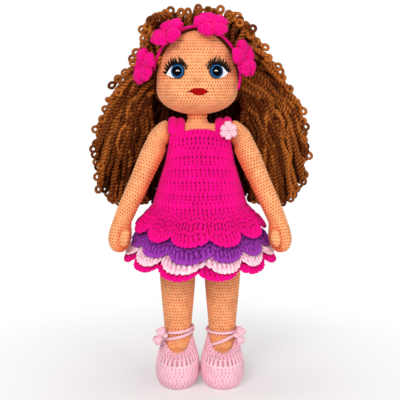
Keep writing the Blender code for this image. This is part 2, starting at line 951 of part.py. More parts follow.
def arm_sections(sign, grow, sides=arm_sides):
    """Rings from the flat end at the shoulder, down the arm and round the mitten hand."""
    down = arm_direction(arm_out, arm_forward, sign)
    hand = arm_direction(hand_out, hand_forward, sign)
    side = X * sign
    front = down.cross(side).normalized()
    root = Vector((sign * arm_root_x, shoulder_pivot_y, shoulder_pivot_z))
    flat = Vector((sign * (shoulder_plane_x() - grow), shoulder_pivot_y, shoulder_pivot_z))
    bulge = arm_radius - arm_end_radius
    wrist = root + down * arm_length
    half_turn = (side + down).normalized()
    places = [
        (flat, side, arm_end_radius, arm_end_radius),
        (flat + side * bulge, side, arm_radius, arm_radius),
        (root + down * arm_length * 0.058, half_turn, arm_radius, arm_radius),
        (root + down * arm_length * 0.163, down, arm_radius, arm_radius),
        (root + down * arm_length * 0.575, down, (arm_radius + wrist_radius) / 2, arm_radius),
        (wrist, down, wrist_radius, wrist_radius),
        (wrist + hand * hand_length * 0.38, hand, hand_half_width, hand_half_depth),
        (wrist + hand * hand_length * 0.70, hand, hand_half_width * 0.96, hand_half_depth * 0.95),
        (wrist + hand * hand_length * 0.89, hand, hand_half_width * 0.72, hand_half_depth * 0.72),
    ]
    tip = wrist + hand * (hand_length + grow)
    places.append((tip, hand, hand_half_width * 0.36, hand_half_depth * 0.36))
    rings = []
    for centre, normal, wide, deep in places:
        up = front.cross(normal).normalized()
        deep_way = normal.cross(up)
        rings.append(section(centre, up, deep_way, wide + grow, deep + grow, 2, sides))
    return rings


def make_arm(side, sign, thread_space):
    """One arm: a knitted skin with the thread's hole in its flat end, stuffing and a thumb."""
    outer = arm_sections(sign, 0)
    inner = arm_sections(sign, -fabric)
    hole = thread_radius + gap
    hole_rings = []
    for depth in (0, fabric):
        centre = Vector((sign * (shoulder_plane_x() + depth), shoulder_pivot_y, shoulder_pivot_z))
        scale = hole / arm_end_radius
        middle = sum(outer[0], Vector()) / len(outer[0])
        hole_rings.append([centre + (point - middle) * scale for point in outer[0]])
    loft(f"arm_{side}", outer[::-1] + hole_rings + inner, SKIN)
    stuffing = loft(f"arm_stuffing_{side}", arm_sections(sign, -fabric - gap, arm_stuffing_sides), FILL)
    combine(stuffing, thread_space, "DIFFERENCE")
    hand = arm_direction(hand_out, hand_forward, sign)
    down = arm_direction(arm_out, arm_forward, sign)
    root = Vector((sign * arm_root_x, shoulder_pivot_y, shoulder_pivot_z))
    forward = (X * sign).cross(hand).normalized()
    if forward.y > 0:
        forward = -forward
    palm = root + down * arm_length + hand * hand_length * 0.46
    inward = -X * sign * thumb_half_width * 0.5
    centre = palm + forward * (hand_half_depth + gap + thumb_half_depth) + inward
    sizes = (thumb_half_width, thumb_half_length, thumb_half_depth)
    ball(f"thumb_{side}", centre, facing(forward, -hand), sizes, SKIN, 10, 7)


# Foot rings: forward share, height share, tilt in degrees, width share, depth share

foot_shares = [
    (0.03, 1.00, 15, 0.75, 0.405),
    (-0.04, 0.61, 40, 0.93, 0.653),
    (0.22, 0.514, 62, 1.00, 0.405),
    (0.47, 0.458, 88, 1.01, 0.320),
    (0.67, 0.389, 89, 1.00, 0.264),
    (0.86, 0.333, 90, 0.83, 0.208),
]
leg_shares = [(0.335, 0.973), (0.655, 0.843), (0.88, 0.741)]


def leg_sections(sign, grow, sides=limb_sides):
    """Rings from the hip dome down the leg, round the heel and along the foot to the toes."""
    x = sign * leg_x
    rings = []
    for angle in (80, 55, 28, 0):
        lean = math.radians(angle)
        radius = (thigh_radius + grow) * math.cos(lean)
        height = hip_z + (thigh_radius + grow) * math.sin(lean)
        rings.append(section(Vector((x, 0, height)), X, Y, radius, radius, 2, sides))
    for drop, wide in leg_shares:
        height = hip_z - (hip_z - ankle_z) * drop
        radius = thigh_radius * wide + grow
        rings.append(section(Vector((x, 0, height)), X, Y, radius, radius, 2, sides))
    radius = ankle_radius + grow
    rings.append(section(Vector((x, 0, ankle_z)), X, Y, radius, radius, 2, sides))
    for ahead, rise, tilt, wide, deep in foot_shares:
        lean = math.radians(tilt)
        centre = Vector((x, -foot_length * ahead, foot_height * rise))
        back = Vector((0, math.cos(lean), -math.sin(lean)))
        half_deep = foot_length * deep + grow
        rings.append(section(centre, X, back, foot_half_width * wide + grow, half_deep, 2, sides))
    toe = Vector((x, -foot_length - grow, foot_height * 0.32))
    toe_wide = foot_half_width * 0.48 + grow
    rings.append(section(toe, X, -Z, toe_wide, foot_length * 0.125 + grow, 2, sides))
    return rings


def make_leg(side, sign):
    """One leg with its stuffing, open only at the top of the hip."""
    outer = leg_sections(sign, 0)
    inner = leg_sections(sign, -fabric)
    loft(f"leg_{side}", outer[::-1] + inner, SKIN)
    loft(f"leg_stuffing_{side}", leg_sections(sign, -fabric - gap, leg_stuffing_sides), FILL)


# Shoe sections: share from toe to heel, half width share, height share

shoe_shares = [
    (0.012, 0.36, 0.19),
    (0.055, 0.68, 0.33),
    (0.160, 0.93, 0.53),
    (0.300, 1.00, 0.66),
    (0.430, 1.00, 0.79),
    (0.560, 0.97, 0.92),
    (0.700, 0.92, 1.00),
    (0.850, 0.80, 0.98),
    (0.950, 0.58, 0.90),
    (0.995, 0.32, 0.74),
]


def make_shoe(side, sign):
    """A soft shoe round the foot with a flat sole, and a stiff insole in its floor."""
    x = sign * leg_x
    length = shoe_heel_y - shoe_toe_y
    rings = []
    count = 18
    for along, wide, tall in shoe_shares:
        ring = []
        y = shoe_toe_y + length * along
        top = shoe_height * tall
        middle = min(shoe_widest_z, top * 0.55)
        for i in range(count):
            angle = math.tau * (i + 0.5) / count
            across = shoe_half_width * wide * rounded(math.cos(angle), 2.6)
            if math.sin(angle) > 0:
                height = middle + (top - middle) * rounded(math.sin(angle), 2.3)
            else:
                height = max(0, middle + middle * 1.12 * rounded(math.sin(angle), 3.2))
            ring.append(Vector((x + across, y, height)))
        rings.append(ring)
    shoe = loft(f"shoe_{side}", rings, SHOE)
    foot_space = loft(f"foot_space_{side}", leg_sections(sign, gap), None)
    combine(shoe, foot_space, "DIFFERENCE")
    make_insole(f"insole_{side}", x, 0, BOARD)
    insole_space = make_insole(f"insole_space_{side}", x, gap, None)
    combine(shoe, insole_space, "DIFFERENCE")


def make_insole(name, x, grow, finish):
    """A rounded board; as a space it also reaches up into the foot's room."""
    outline = []
    count = 20
    for i in range(count):
        angle = math.tau * i / count
        wide = (insole_half_width + grow) * rounded(math.cos(angle), 2.4)
        long = (insole_half_length + grow) * rounded(math.sin(angle), 2.4)
        outline.append((wide, long))
    low = insole_bottom_z - grow
    high = insole_bottom_z + insole_thickness + (overrun if grow else 0)
    place = Matrix.Translation((x, insole_y, (low + high) / 2))
    return plate(name, outline, high - low, place, finish)


def make_tie(side, sign):
    """The cord round the ankle and the bow tied in it."""
    centre = Vector((sign * leg_x, 0, tie_z))
    ring_radius = ankle_radius + 3 * gap + tie_radius
    turn = Matrix.Rotation(math.radians(sign * tie_tilt), 3, "Y")
    path = []
    count = 16
    for i in range(count):
        angle = math.tau * i / count
        point = Vector((math.sin(angle), math.cos(angle), 0)) * ring_radius
        path.append(centre + turn @ point)
    cord(f"ankle_tie_{side}", path, tie_radius, True, SHOE)
    lean = math.radians(bow_turn)
    out = Vector((sign * math.sin(lean), -math.cos(lean), 0))
    rim = turn @ (out * ring_radius)
    knot_centre = centre + rim + out * (tie_radius + gap + bow_knot_radius)
    bow = ball(f"bow_{side}", knot_centre, facing(out), [bow_knot_radius] * 3, SHOE, 8, 6)
    for number, rise in enumerate((1, -1)):
        sway = facing(out) @ Vector((0.30, rise, 0))
        middle = knot_centre + sway * (bow_loop_radius + bow_knot_radius * 0.5)
        loop = bow_loop(f"bow_loop_{side}_{number}", middle, out, sway.normalized())
        combine(bow, loop, "UNION")


def bow_loop(name, middle, out, along):
    """One loop of a bow: a thin ring, longer along its own direction."""
    side = out.cross(along).normalized()
    path = []
    count = 10
    for i in range(count):
        angle = math.tau * i / count
        long = along * math.cos(angle) * bow_loop_radius
        wide = side * math.sin(angle) * bow_loop_radius * 0.62
        path.append(middle + long + wide)
    return cord(name, path, tie_radius * 0.9, True, None)


# Dress body


def skirt_half_sizes(height):
    """The skirt body's outer half width and half depth at a side height."""
    if height >= waist_z:
        wide, deep = torso_half_sizes(height)
        extra = dress_ease + dress_wall
        return wide + extra, deep + extra
    if height >= skirt_top_z:
        top_wide, top_deep = skirt_half_sizes(waist_z)
        mix = (waist_z - height) / (waist_z - skirt_top_z)
        wide = top_wide + (skirt_top_half_width - top_wide) * mix
        return wide, top_deep + (skirt_top_half_depth - top_deep) * mix
    mix = (skirt_top_z - height) / (skirt_top_z - skirt_hem_z)
    wide = skirt_top_half_width + (skirt_hem_half_width - skirt_top_half_width) * mix
    return wide, skirt_top_half_depth + (skirt_hem_half_depth - skirt_top_half_depth) * mix


def skirt_drop(height):
    """How far the skirt's front and back hang below its sides, at a side height."""
    share = (waist_z - height) / (waist_z - skirt_hem_z)
    return skirt_dip * min(1, max(0, share * 1.5 - 0.25))


def skirt_ring(height, outward, count, wave=0, scallop=0):
    """A ring of the skirt at a side height, moved outward from the skirt body's surface."""
    wide, deep = skirt_half_sizes(height)
    return hem_ring(wide + outward, deep + outward, height, skirt_drop(height), count, wave, scallop)


def skirt_power(height):
    """The bodice is as square as the torso; the skirt rounds off towards its hem."""
    mix = min(1, max(0, (armhole_z - height) / (armhole_z - skirt_hem_z)))
    return torso_power + (2.1 - torso_power) * mix


def hem_ring(wide, deep, height, drop, count, wave, scallop):
    ring = []
    power = skirt_power(height)
    for i in range(count):
        angle = math.tau * i / count
        ripple = math.cos(tier_waves * angle)
        x = (wide + wave * ripple) * rounded(math.cos(angle), power)
        y = (deep + wave * ripple) * rounded(math.sin(angle), power)
        z = height - drop * math.sin(angle) ** 2 - scallop * ripple
        ring.append(Vector((x, y, z)))
    return ring


def neckline_ring(side_z, rise, inward):
    """A ring of the bodice: low at the armholes, high at the front, and fitted to the torso."""
    ring = []
    for i in range(head_sides):
        angle = math.tau * i / head_sides
        height = side_z + rise * math.sin(angle) ** 2
        wide, deep = torso_half_sizes(height)
        extra = dress_ease + dress_wall - inward
        x = (wide + extra) * rounded(math.cos(angle), torso_power)
        y = (deep + extra) * rounded(math.sin(angle), torso_power)
        ring.append(Vector((x, y, height)))
    return ring


def make_dress():
    """The dress body: a fitted bodice that widens into the skirt that carries the tiers."""
    sets = []
    for inward in (0, dress_wall):
        rings = [
            neckline_ring(armhole_z, neckline_rise, inward),
            neckline_ring(armhole_z - neckline_rise * 0.22, neckline_rise * 0.72, inward),
            neckline_ring(waist_z, neckline_rise * 0.22, inward),
        ]
        low = (waist_z + skirt_top_z) / 2
        middle = (skirt_top_z + skirt_hem_z) / 2
        for height in (low, skirt_top_z, middle, skirt_hem_z):
            rings.append(skirt_ring(height, -inward, head_sides))
        sets.append(rings)
    outer, inner = sets
    loft("dress", outer + inner[::-1], PINK, joined=True)


# Tiers: name, attach height, hem height, hem half width and half depth at the crests, finish

tiers = [
    ("ruffle_upper", upper_top_z, upper_hem_z, upper_half_width, upper_half_depth, PINK),
    ("ruffle_purple", purple_top_z, purple_hem_z, purple_half_width, purple_half_depth, PURPLE),
    ("ruffle_pale", pale_top_z, pale_hem_z, pale_half_width, pale_half_depth, PALE),
    ("ruffle_lower", lower_top_z, lower_hem_z, lower_half_width, lower_half_depth, PINK),
]


def make_tiers():
    """Four ruffles, each from its row on the skirt body out to a scalloped hem."""
    for name, attach, hem, hem_wide, hem_deep, finish in tiers:
        top_wide, top_deep = skirt_half_sizes(attach)
        top_drop = skirt_drop(attach)
        sets = []
        for wall in (tier_wall, 0):
            rings = []
            for share in (0, 0.5, 1):
                flare = share ** tier_flare
                start = tier_seat + wall
                end = wall - tier_wall - tier_wave
                wide = top_wide + start + (hem_wide + end - top_wide - start) * flare
                deep = top_deep + start + (hem_deep + end - top_deep - start) * flare
                height = attach + (hem - attach) * share
                drop = top_drop + (skirt_dip - top_drop) * share
                wave = tier_wave * share ** 2
                ring = hem_ring(wide, deep, height, drop, tier_sides, wave, tier_scallop * share)
                rings.append(ring)
            sets.append(rings)
        outer, inner = sets
        loft(name, outer + inner[::-1], finish, joined=True)


def make_straps():
    """A bubbly strap over each shoulder, sewn to the bodice in front and behind."""
    for side, sign in SIDES.items():
        rings = []
        steps = 10
        for i in range(steps + 1):
            angle = math.pi * i / steps
            lobe = 1 - 0.12 * math.cos(4 * angle) - 0.10 * (i in (0, steps))
            ahead = -strap_half_depth * math.cos(angle)
            height = strap_foot_z + strap_rise * math.sin(angle)
            centre = Vector((sign * strap_x, ahead, height))
            away = Vector((0, -math.cos(angle), math.sin(angle)))
            half_wide = strap_half_width * min(1, lobe)
            rings.append(section(centre, X, away, half_wide, strap_half_thickness, 2.4, 10))
        loft(f"strap_{side}", rings, PINK)


def make_brooch():
    """A small pale flower on the left strap."""
    low_edge = brooch_z - brooch_radius * petal_shares[0][1]
    rise = (low_edge - strap_foot_z) / strap_rise
    back_y = -strap_half_depth * math.sqrt(1 - rise ** 2) - strap_half_thickness
    centre = Vector((brooch_x, back_y, brooch_z))
    make_flower("brooch_flower", centre, -Y, brooch_radius, brooch_height, PALE)


for old in list(bpy.data.objects):
    bpy.data.objects.remove(old)
doll = collection("crochet_doll")
cutters = collection("cutters")

peg_room, thread_room = make_torso()
make_head(peg_room)
make_cap()
make_headband()
make_crown(make_flowers())
make_falls()
make_dress()
make_tiers()
make_straps()
make_brooch()
for limb_side, limb_sign in SIDES.items():
    make_arm(limb_side, limb_sign, thread_room)
    make_leg(limb_side, limb_sign)
    make_shoe(limb_side, limb_sign)
    make_tie(limb_side, limb_sign)
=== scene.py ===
# %% [markdown]
# # A crocheted yarn doll, worked stitch by stitch The doll is made as its maker makes it: a skin in
# rounds of single crochet is filled with stuffing, and the dress, ruffles, hair and shoes are
# worked on afterwards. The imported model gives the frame, in metres, with the floor at Z = 0, the
# face towards -Y and the doll's left at +X. Every piece here is made in that frame, so it needs no
# fitting afterwards.

# %% Load the frame
import math
import random

import bpy
import numpy as np
from mathutils import Matrix, Vector


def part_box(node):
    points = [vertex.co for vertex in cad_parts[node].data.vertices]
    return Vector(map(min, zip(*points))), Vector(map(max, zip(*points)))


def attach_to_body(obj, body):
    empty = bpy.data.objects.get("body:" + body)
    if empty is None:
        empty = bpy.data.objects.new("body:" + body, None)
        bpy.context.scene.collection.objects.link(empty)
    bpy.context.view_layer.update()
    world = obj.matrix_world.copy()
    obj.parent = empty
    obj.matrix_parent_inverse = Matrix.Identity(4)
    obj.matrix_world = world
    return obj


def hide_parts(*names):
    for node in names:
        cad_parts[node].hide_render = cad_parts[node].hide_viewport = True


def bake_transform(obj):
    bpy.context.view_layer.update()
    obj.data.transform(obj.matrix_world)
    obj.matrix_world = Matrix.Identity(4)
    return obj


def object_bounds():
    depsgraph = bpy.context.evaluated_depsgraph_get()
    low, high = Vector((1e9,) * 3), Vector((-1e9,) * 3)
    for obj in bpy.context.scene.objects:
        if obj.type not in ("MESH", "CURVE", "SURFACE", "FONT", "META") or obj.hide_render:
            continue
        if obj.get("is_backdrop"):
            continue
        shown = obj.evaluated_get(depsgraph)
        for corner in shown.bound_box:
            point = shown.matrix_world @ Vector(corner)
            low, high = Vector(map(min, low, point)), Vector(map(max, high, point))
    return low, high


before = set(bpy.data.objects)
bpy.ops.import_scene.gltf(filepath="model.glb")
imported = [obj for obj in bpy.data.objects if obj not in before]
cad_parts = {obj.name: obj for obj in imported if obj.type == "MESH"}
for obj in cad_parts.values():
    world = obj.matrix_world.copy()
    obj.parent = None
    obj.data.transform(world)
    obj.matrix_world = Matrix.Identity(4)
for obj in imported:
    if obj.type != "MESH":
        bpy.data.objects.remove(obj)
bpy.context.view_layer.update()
SIDES = {"left": 1, "right": -1}
X = Vector((1, 0, 0))
Y = Vector((0, 1, 0))
Z = Vector((0, 0, 1))

# %% [markdown]
# The camera comes first, because the rest is judged through it. It stands a little above the doll
# and looks down on it by eight degrees. A 72 mm lens on a 36 mm wide sensor, from 0.8 m away, makes
# one pixel of a 400 pixel picture about one millimetre on the doll.

# %% Camera
bpy.ops.object.select_all(action="DESELECT")
bpy.ops.object.camera_add(location=(0, -0.8, 0.3), rotation=(math.radians(82), 0, 0))
camera = bpy.context.object
camera.name = "picture_camera"
camera.data.lens = 72
camera.data.sensor_width = 36
camera.data.clip_end = 20
bpy.context.scene.camera = camera
bpy.context.scene.view_settings.view_transform = "Standard"
print("camera at", tuple(camera.location))

# %% [markdown]
# Colours are written as sRGB hex codes, as a picture editor gives them. Blender works in linear
# light, so one function turns them. Small functions add a node with its settings and its links,
# which keeps each material below to a few readable lines.

# %% Colour and node helpers


def linear(code):
    channels = [int(code[i:i + 2], 16) / 255 for i in (1, 3, 5)]
    bent = [c / 12.92 if c <= 0.04045 else ((c + 0.055) / 1.055) ** 2.4 for c in channels]
    return (*bent, 1)


def connect(tree, node, inputs):
    """Give a node's sockets, by name or number, a value or a link from another node's socket."""
    for name, value in inputs.items():
        if isinstance(value, bpy.types.NodeSocket):
            tree.links.new(value, node.inputs[name])
        else:
            node.inputs[name].default_value = value


def add_node(tree, kind, settings=None, inputs=None):
    """Add a node with its settings and its inputs."""
    node = tree.nodes.new(kind)
    for name, value in (settings or {}).items():
        setattr(node, name, value)
    connect(tree, node, inputs or {})
    return node


def ramp(tree, factor, stops):
    """A colour ramp from (place, hex) pairs."""
    node = add_node(tree, "ShaderNodeValToRGB", inputs={0: factor})
    while len(node.color_ramp.elements) < len(stops):
        node.color_ramp.elements.new(0.5)
    for element, (place, code) in zip(node.color_ramp.elements, stops):
        element.position = place
        element.color = linear(code)
    return node.outputs[0]


def calculate(tree, operation, *values, clamp=False):
    """The result of a math node."""
    settings = {"operation": operation, "use_clamp": clamp}
    return add_node(tree, "ShaderNodeMath", settings, dict(enumerate(values))).outputs[0]


def attribute(tree, name):
    """A number that the mesh carries at each point."""
    return add_node(tree, "ShaderNodeAttribute", {"attribute_name": name}).outputs["Fac"]


def noise(tree, place, scale, detail, roughness=0.5):
    """Noise over the object; a scale of 1000 has grains of about a millimetre."""
    return add_node(tree, "ShaderNodeTexNoise", inputs={
        "Vector": place.outputs["Object"], "Scale": scale, "Detail": detail,
        "Roughness": roughness}).outputs["Fac"]


def new_material(name):
    """A new material, with its tree, its shader and its coordinates."""
    material = bpy.data.materials.new(name)
    material.use_nodes = True
    tree = material.node_tree
    return material, tree, tree.nodes["Principled BSDF"], add_node(tree, "ShaderNodeTexCoord")


# %% [markdown]
# ## Yarn
# Cotton yarn in single crochet is matt. Each stitch stands up in two small legs and leaves a dark
# pit between them, where light hardly reaches. The mesh carries a number called hollow at each
# point, 0 in a pit and 1 on top of the yarn. The ramp paints the pits in the yarn's deep tone as
# painted shade and the tops in its light tone as painted light, with the middle tone between. Fine
# noise at 0.5 mm is the fibre of the yarn, and broad noise at 15 mm is the uneven dye. A wave along
# the UV map, which counts stitches, is the twist of the plies. Sheen is the soft rim of light that
# loose fibres catch.

# %% Yarn material


def yarn(name, deep, body, light, sheen=0.04, tint=None, pit=0.40):
    material, tree, shader, place = new_material(name)
    fibre = noise(tree, place, 2000, 2, 0.6)
    dye = noise(tree, place, 70, 3)
    spread = calculate(tree, "MULTIPLY_ADD", fibre, 0.36, -0.18)
    height = calculate(tree, "ADD", attribute(tree, "hollow"), spread, clamp=True)
    # The deep tone in the pits is painted shade, and the light tone on the tops is painted light.
    colour = ramp(tree, height, [(0.04, deep), (pit, body), (0.94, light)])
    # The tint is multiplied in by the mesh's warming number, which is partly blush and partly
    # painted shade.
    if tint:
        warm = add_node(tree, "ShaderNodeMix", {"data_type": "RGBA", "blend_type": "MULTIPLY"}, {
            0: attribute(tree, "blush_and_shade"), 6: colour, 7: linear(tint)})
        colour = warm.outputs[2]
    level = add_node(tree, "ShaderNodeMapRange", inputs={
        "Value": dye, "From Min": 0.3, "From Max": 0.7, "To Min": 0.90, "To Max": 1.08})
    dyed = add_node(tree, "ShaderNodeHueSaturation", inputs={
        "Color": colour, "Value": level.outputs["Result"]})
    plies = add_node(tree, "ShaderNodeTexWave", {"bands_direction": "DIAGONAL"}, {
        "Vector": place.outputs["UV"], "Scale": 1.3, "Distortion": 1.5, "Detail": 1})
    bump = add_node(tree, "ShaderNodeBump", inputs={
        "Height": calculate(tree, "MULTIPLY_ADD", plies.outputs["Fac"], 0.5, fibre),
        "Strength": 0.5, "Distance": 0.0003})
    connect(tree, shader, {
        "Base Color": dyed.outputs[0], "Normal": bump.outputs[0], "Roughness": 0.85,
        "Sheen Weight": sheen, "Sheen Roughness": 0.6, "Specular IOR Level": 0.06})
    return material


# The skin's tint warms it where the mesh says: blush on the cheeks, and painted shade at the skin's
# edges and under the head.
skin_yarn = yarn("skin_cotton_yarn", "#C65220", "#F09C66", "#FDC694", tint="#F07E6A")
pink_yarn = yarn("hot_pink_cotton_yarn", "#7A003A", "#DC006E", "#F4008E")
purple_yarn = yarn("purple_cotton_yarn", "#3E0848", "#7E248A", "#A03CB0")
pale_yarn = yarn("pale_pink_cotton_yarn", "#C05C80", "#EEB0C2", "#FBDAE3")
shoe_yarn = yarn("soft_pink_cotton_yarn", "#AE3058", "#F4AEC1", "#FFD9E3")
# The hair's near-black deep tone reaches further up its ramp: painted shade in the twist and
# between the locks.
hair_yarn = yarn("brown_twisted_yarn", "#080200", "#56240A", "#B8682A", 0.0, pit=0.50)
print("yarns:", ", ".join(m.name for m in bpy.data.materials if m.name.endswith("_yarn")))

# %% [markdown]
# ## Sizes from the model
# The CAD source and this script can't read each other, so the lengths that place a piece are
# repeated here. The head is an egg that is widest at the cheeks, and the eyes, lips and headband
# are all placed on its surface.

# %% Head surface
head_x, half_width, depth_share = -0.0028, 0.0400, 0.97
chin_z, cheek_z, top_z, chin_power, brow_power = 0.2740, 0.2990, 0.3600, 2.2, 2.6


def head_radius(height, grow=0):
    """Half the head's width at a height."""
    below = height < cheek_z
    reach = (cheek_z - chin_z if below else top_z - cheek_z) + grow
    power = chin_power if below else brow_power
    share = min(1, abs(height - cheek_z) / reach)
    return (half_width + grow) * (1 - share ** power) ** (1 / power)


def face_point(x, height, grow=0):
    """A point of the face, x from its middle."""
    radius = head_radius(height, grow)
    return Vector((head_x + x, -depth_share * math.sqrt(max(0, radius ** 2 - x ** 2)), height))


def face_normal(x, height):
    step = 0.0003
    point = face_point(x, height)
    side = face_point(x + step, height) - point
    return side.cross(face_point(x, height + step) - point).normalized()


def facing(direction, up=Z):
    """A turn whose local Z looks along a direction."""
    front = direction.normalized()
    side = up.cross(front).normalized()
    return Matrix((side, front.cross(side), front)).transposed()


print("face at the lips:", tuple(round(c, 4) for c in face_point(0, 0.296)))

# %% [markdown]
# ## A sheet of stitches
# Crochet grows in rounds, so each skin starts as a flat grid, like the chart of a pattern, with
# four faces to a stitch each way. The grid is rolled onto the form that the pattern describes, and
# its points are lifted where the yarn stands up. Each round has as many stitches as its own length
# takes, so the stitches keep their size where the maker increases or decreases. Each round is set a
# little over half a stitch on from the one below, because crochet leans as it spirals.

# %% Stitch patterns


def bell(value, middle, width):
    """1 at the middle and hardly anything past twice the width."""
    return np.exp(-((value - middle) / width) ** 2)


def single_stitch(a, b, strength):
    """Single crochet: two legs in a V. a runs across a stitch, b up it, both from 0 to 1."""
    top = 0
    for shift in (-1, 0, 1):
        for lean in (-1, 1):
            middle = 0.5 + shift + lean * (0.09 + 0.36 * b)
            top = np.maximum(top, bell(a, middle, 0.20))
    height = top * (0.36 + 0.64 * np.sin(np.pi * np.clip(b * 0.94 + 0.03, 0, 1)) ** 0.6)
    return np.clip(1 - 1.25 * (1 - height) * strength, 0, 1)


def slit_stitch(a, b):
    """Tall posts with an open slit between each two. The slits take the yarn's deep tone, as
    painted shade.
    """
    aside = np.minimum(a, 1 - a)
    return 1 - bell(aside, 0, 0.20) * np.clip(2.2 * np.sin(np.pi * b), 0, 1)


def holed_stitch(a, b, strength):
    """Loose stitches: a round hole between each two, and a groove along the top of the round.
    The holes and the groove take the yarn's deep tone, as painted shade.
    """
    aside = np.minimum(a, 1 - a)
    hole = np.exp(-(aside / 0.27) ** 2 - ((b - 0.46) / 0.34) ** 2)
    seam = bell(b, 1, 0.14) + bell(b, 0, 0.14)
    return np.clip(0.98 - 1.60 * strength * hole - 0.34 * seam, 0, 1)


def bumpy(a, b):
    """The knobbly face of loosely worked yarn."""
    return np.abs(np.sin(np.pi * a)) ** 0.7 * (0.35 + 0.65 * np.sin(np.pi * b) ** 0.7)


# %% Grid onto a form


def fresh(add, **settings):
    """Add a primitive with nothing else selected and return it."""
    bpy.ops.object.select_all(action="DESELECT")
    add(**settings)
    return bpy.context.object


def grid(across, up):
    """A flat grid of a metre each way, with so many faces."""
    return fresh(bpy.ops.mesh.primitive_grid_add, x_subdivisions=across, y_subdivisions=up, size=1)


def choose(*pieces):
    """Select only these pieces, and make the first the active one."""
    bpy.ops.object.select_all(action="DESELECT")
    for piece in pieces:
        piece.select_set(True)
    bpy.context.view_layer.objects.active = pieces[0]


def edit(piece, *steps):
    """Run mesh operators on the whole of one piece, in edit mode."""
    choose(piece)
    bpy.ops.object.mode_set(mode="EDIT")
    bpy.ops.mesh.select_all(action="SELECT")
    for operator, settings in steps:
        operator(**settings)
    bpy.ops.object.mode_set(mode="OBJECT")


close_seam = (bpy.ops.mesh.remove_doubles, {"threshold": 0.000001})
turn_over = (bpy.ops.mesh.flip_normals, {})
face_out = (bpy.ops.mesh.normals_make_consistent, {"inside": False})


def wall(piece, thickness, offset=-1):
    """Give a sheet its thickness: inwards, or to both sides where offset is 0."""
    choose(piece)
    solidify = piece.modifiers.new("wall", "SOLIDIFY")
    solidify.thickness = thickness
    solidify.offset = offset
    bpy.ops.object.modifier_apply(modifier="wall")


def join(parts):
    """Join several pieces into the first."""
    choose(*parts)
    bpy.ops.object.join()
    return bpy.context.object


def read_points(piece):
    points = np.empty(len(piece.data.vertices) * 3)
    piece.data.vertices.foreach_get("co", points)
    return points.reshape(-1, 3)


def write_points(piece, points):
    piece.data.vertices.foreach_set("co", np.ascontiguousarray(points, dtype=np.float32).ravel())
    piece.data.update()


def scale_uv(piece, factors):
    """Stretch the UV map until it counts stitches."""
    layer = piece.data.uv_layers.active.data
    uv = np.empty(len(layer) * 2)
    layer.foreach_get("uv", uv)
    layer.foreach_set("uv", (uv.reshape(-1, 2) * factors).ravel())


def mark(piece, name, values):
    """Keep a number for each point of a piece, for its material to read."""
    found = piece.data.attributes.get(name)
    found = found or piece.data.attributes.new(name, "FLOAT", "POINT")
    values = np.broadcast_to(values, len(piece.data.vertices))
    found.data.foreach_set("value", np.ascontiguousarray(values, dtype=np.float32))


def finish_piece(piece, name, material, body, slot, *nodes):
    """Name a piece, give it its material, shade it smooth and set it on its body."""
    piece.name = name
    piece.data.name = name
    piece.data.materials.clear()
    piece.data.materials.append(material)
    choose(piece)
    bpy.ops.object.shade_smooth()
    if body:
        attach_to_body(piece, body)
    if nodes:
        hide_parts(*nodes)
    print(f"{name}: {len(piece.data.polygons)} faces")


def even_rounds(points, across):
    """The same rounds with their points an equal way apart."""
    steps = np.linalg.norm(np.diff(points, axis=1), axis=2)
    result = np.empty((len(points), across + 1, 3))
    for line, spots in enumerate(points):
        run = np.concatenate([[0], np.cumsum(steps[line])])
        where = np.linspace(0, run[-1], across + 1)
        for k in range(3):
            result[line, :, k] = np.interp(where, run, spots[:, k]) if run[-1] > 1e-9 else spots[0,
                k]
    return result


STITCH_FACES = 4
SLIT_SHARE = 0.80


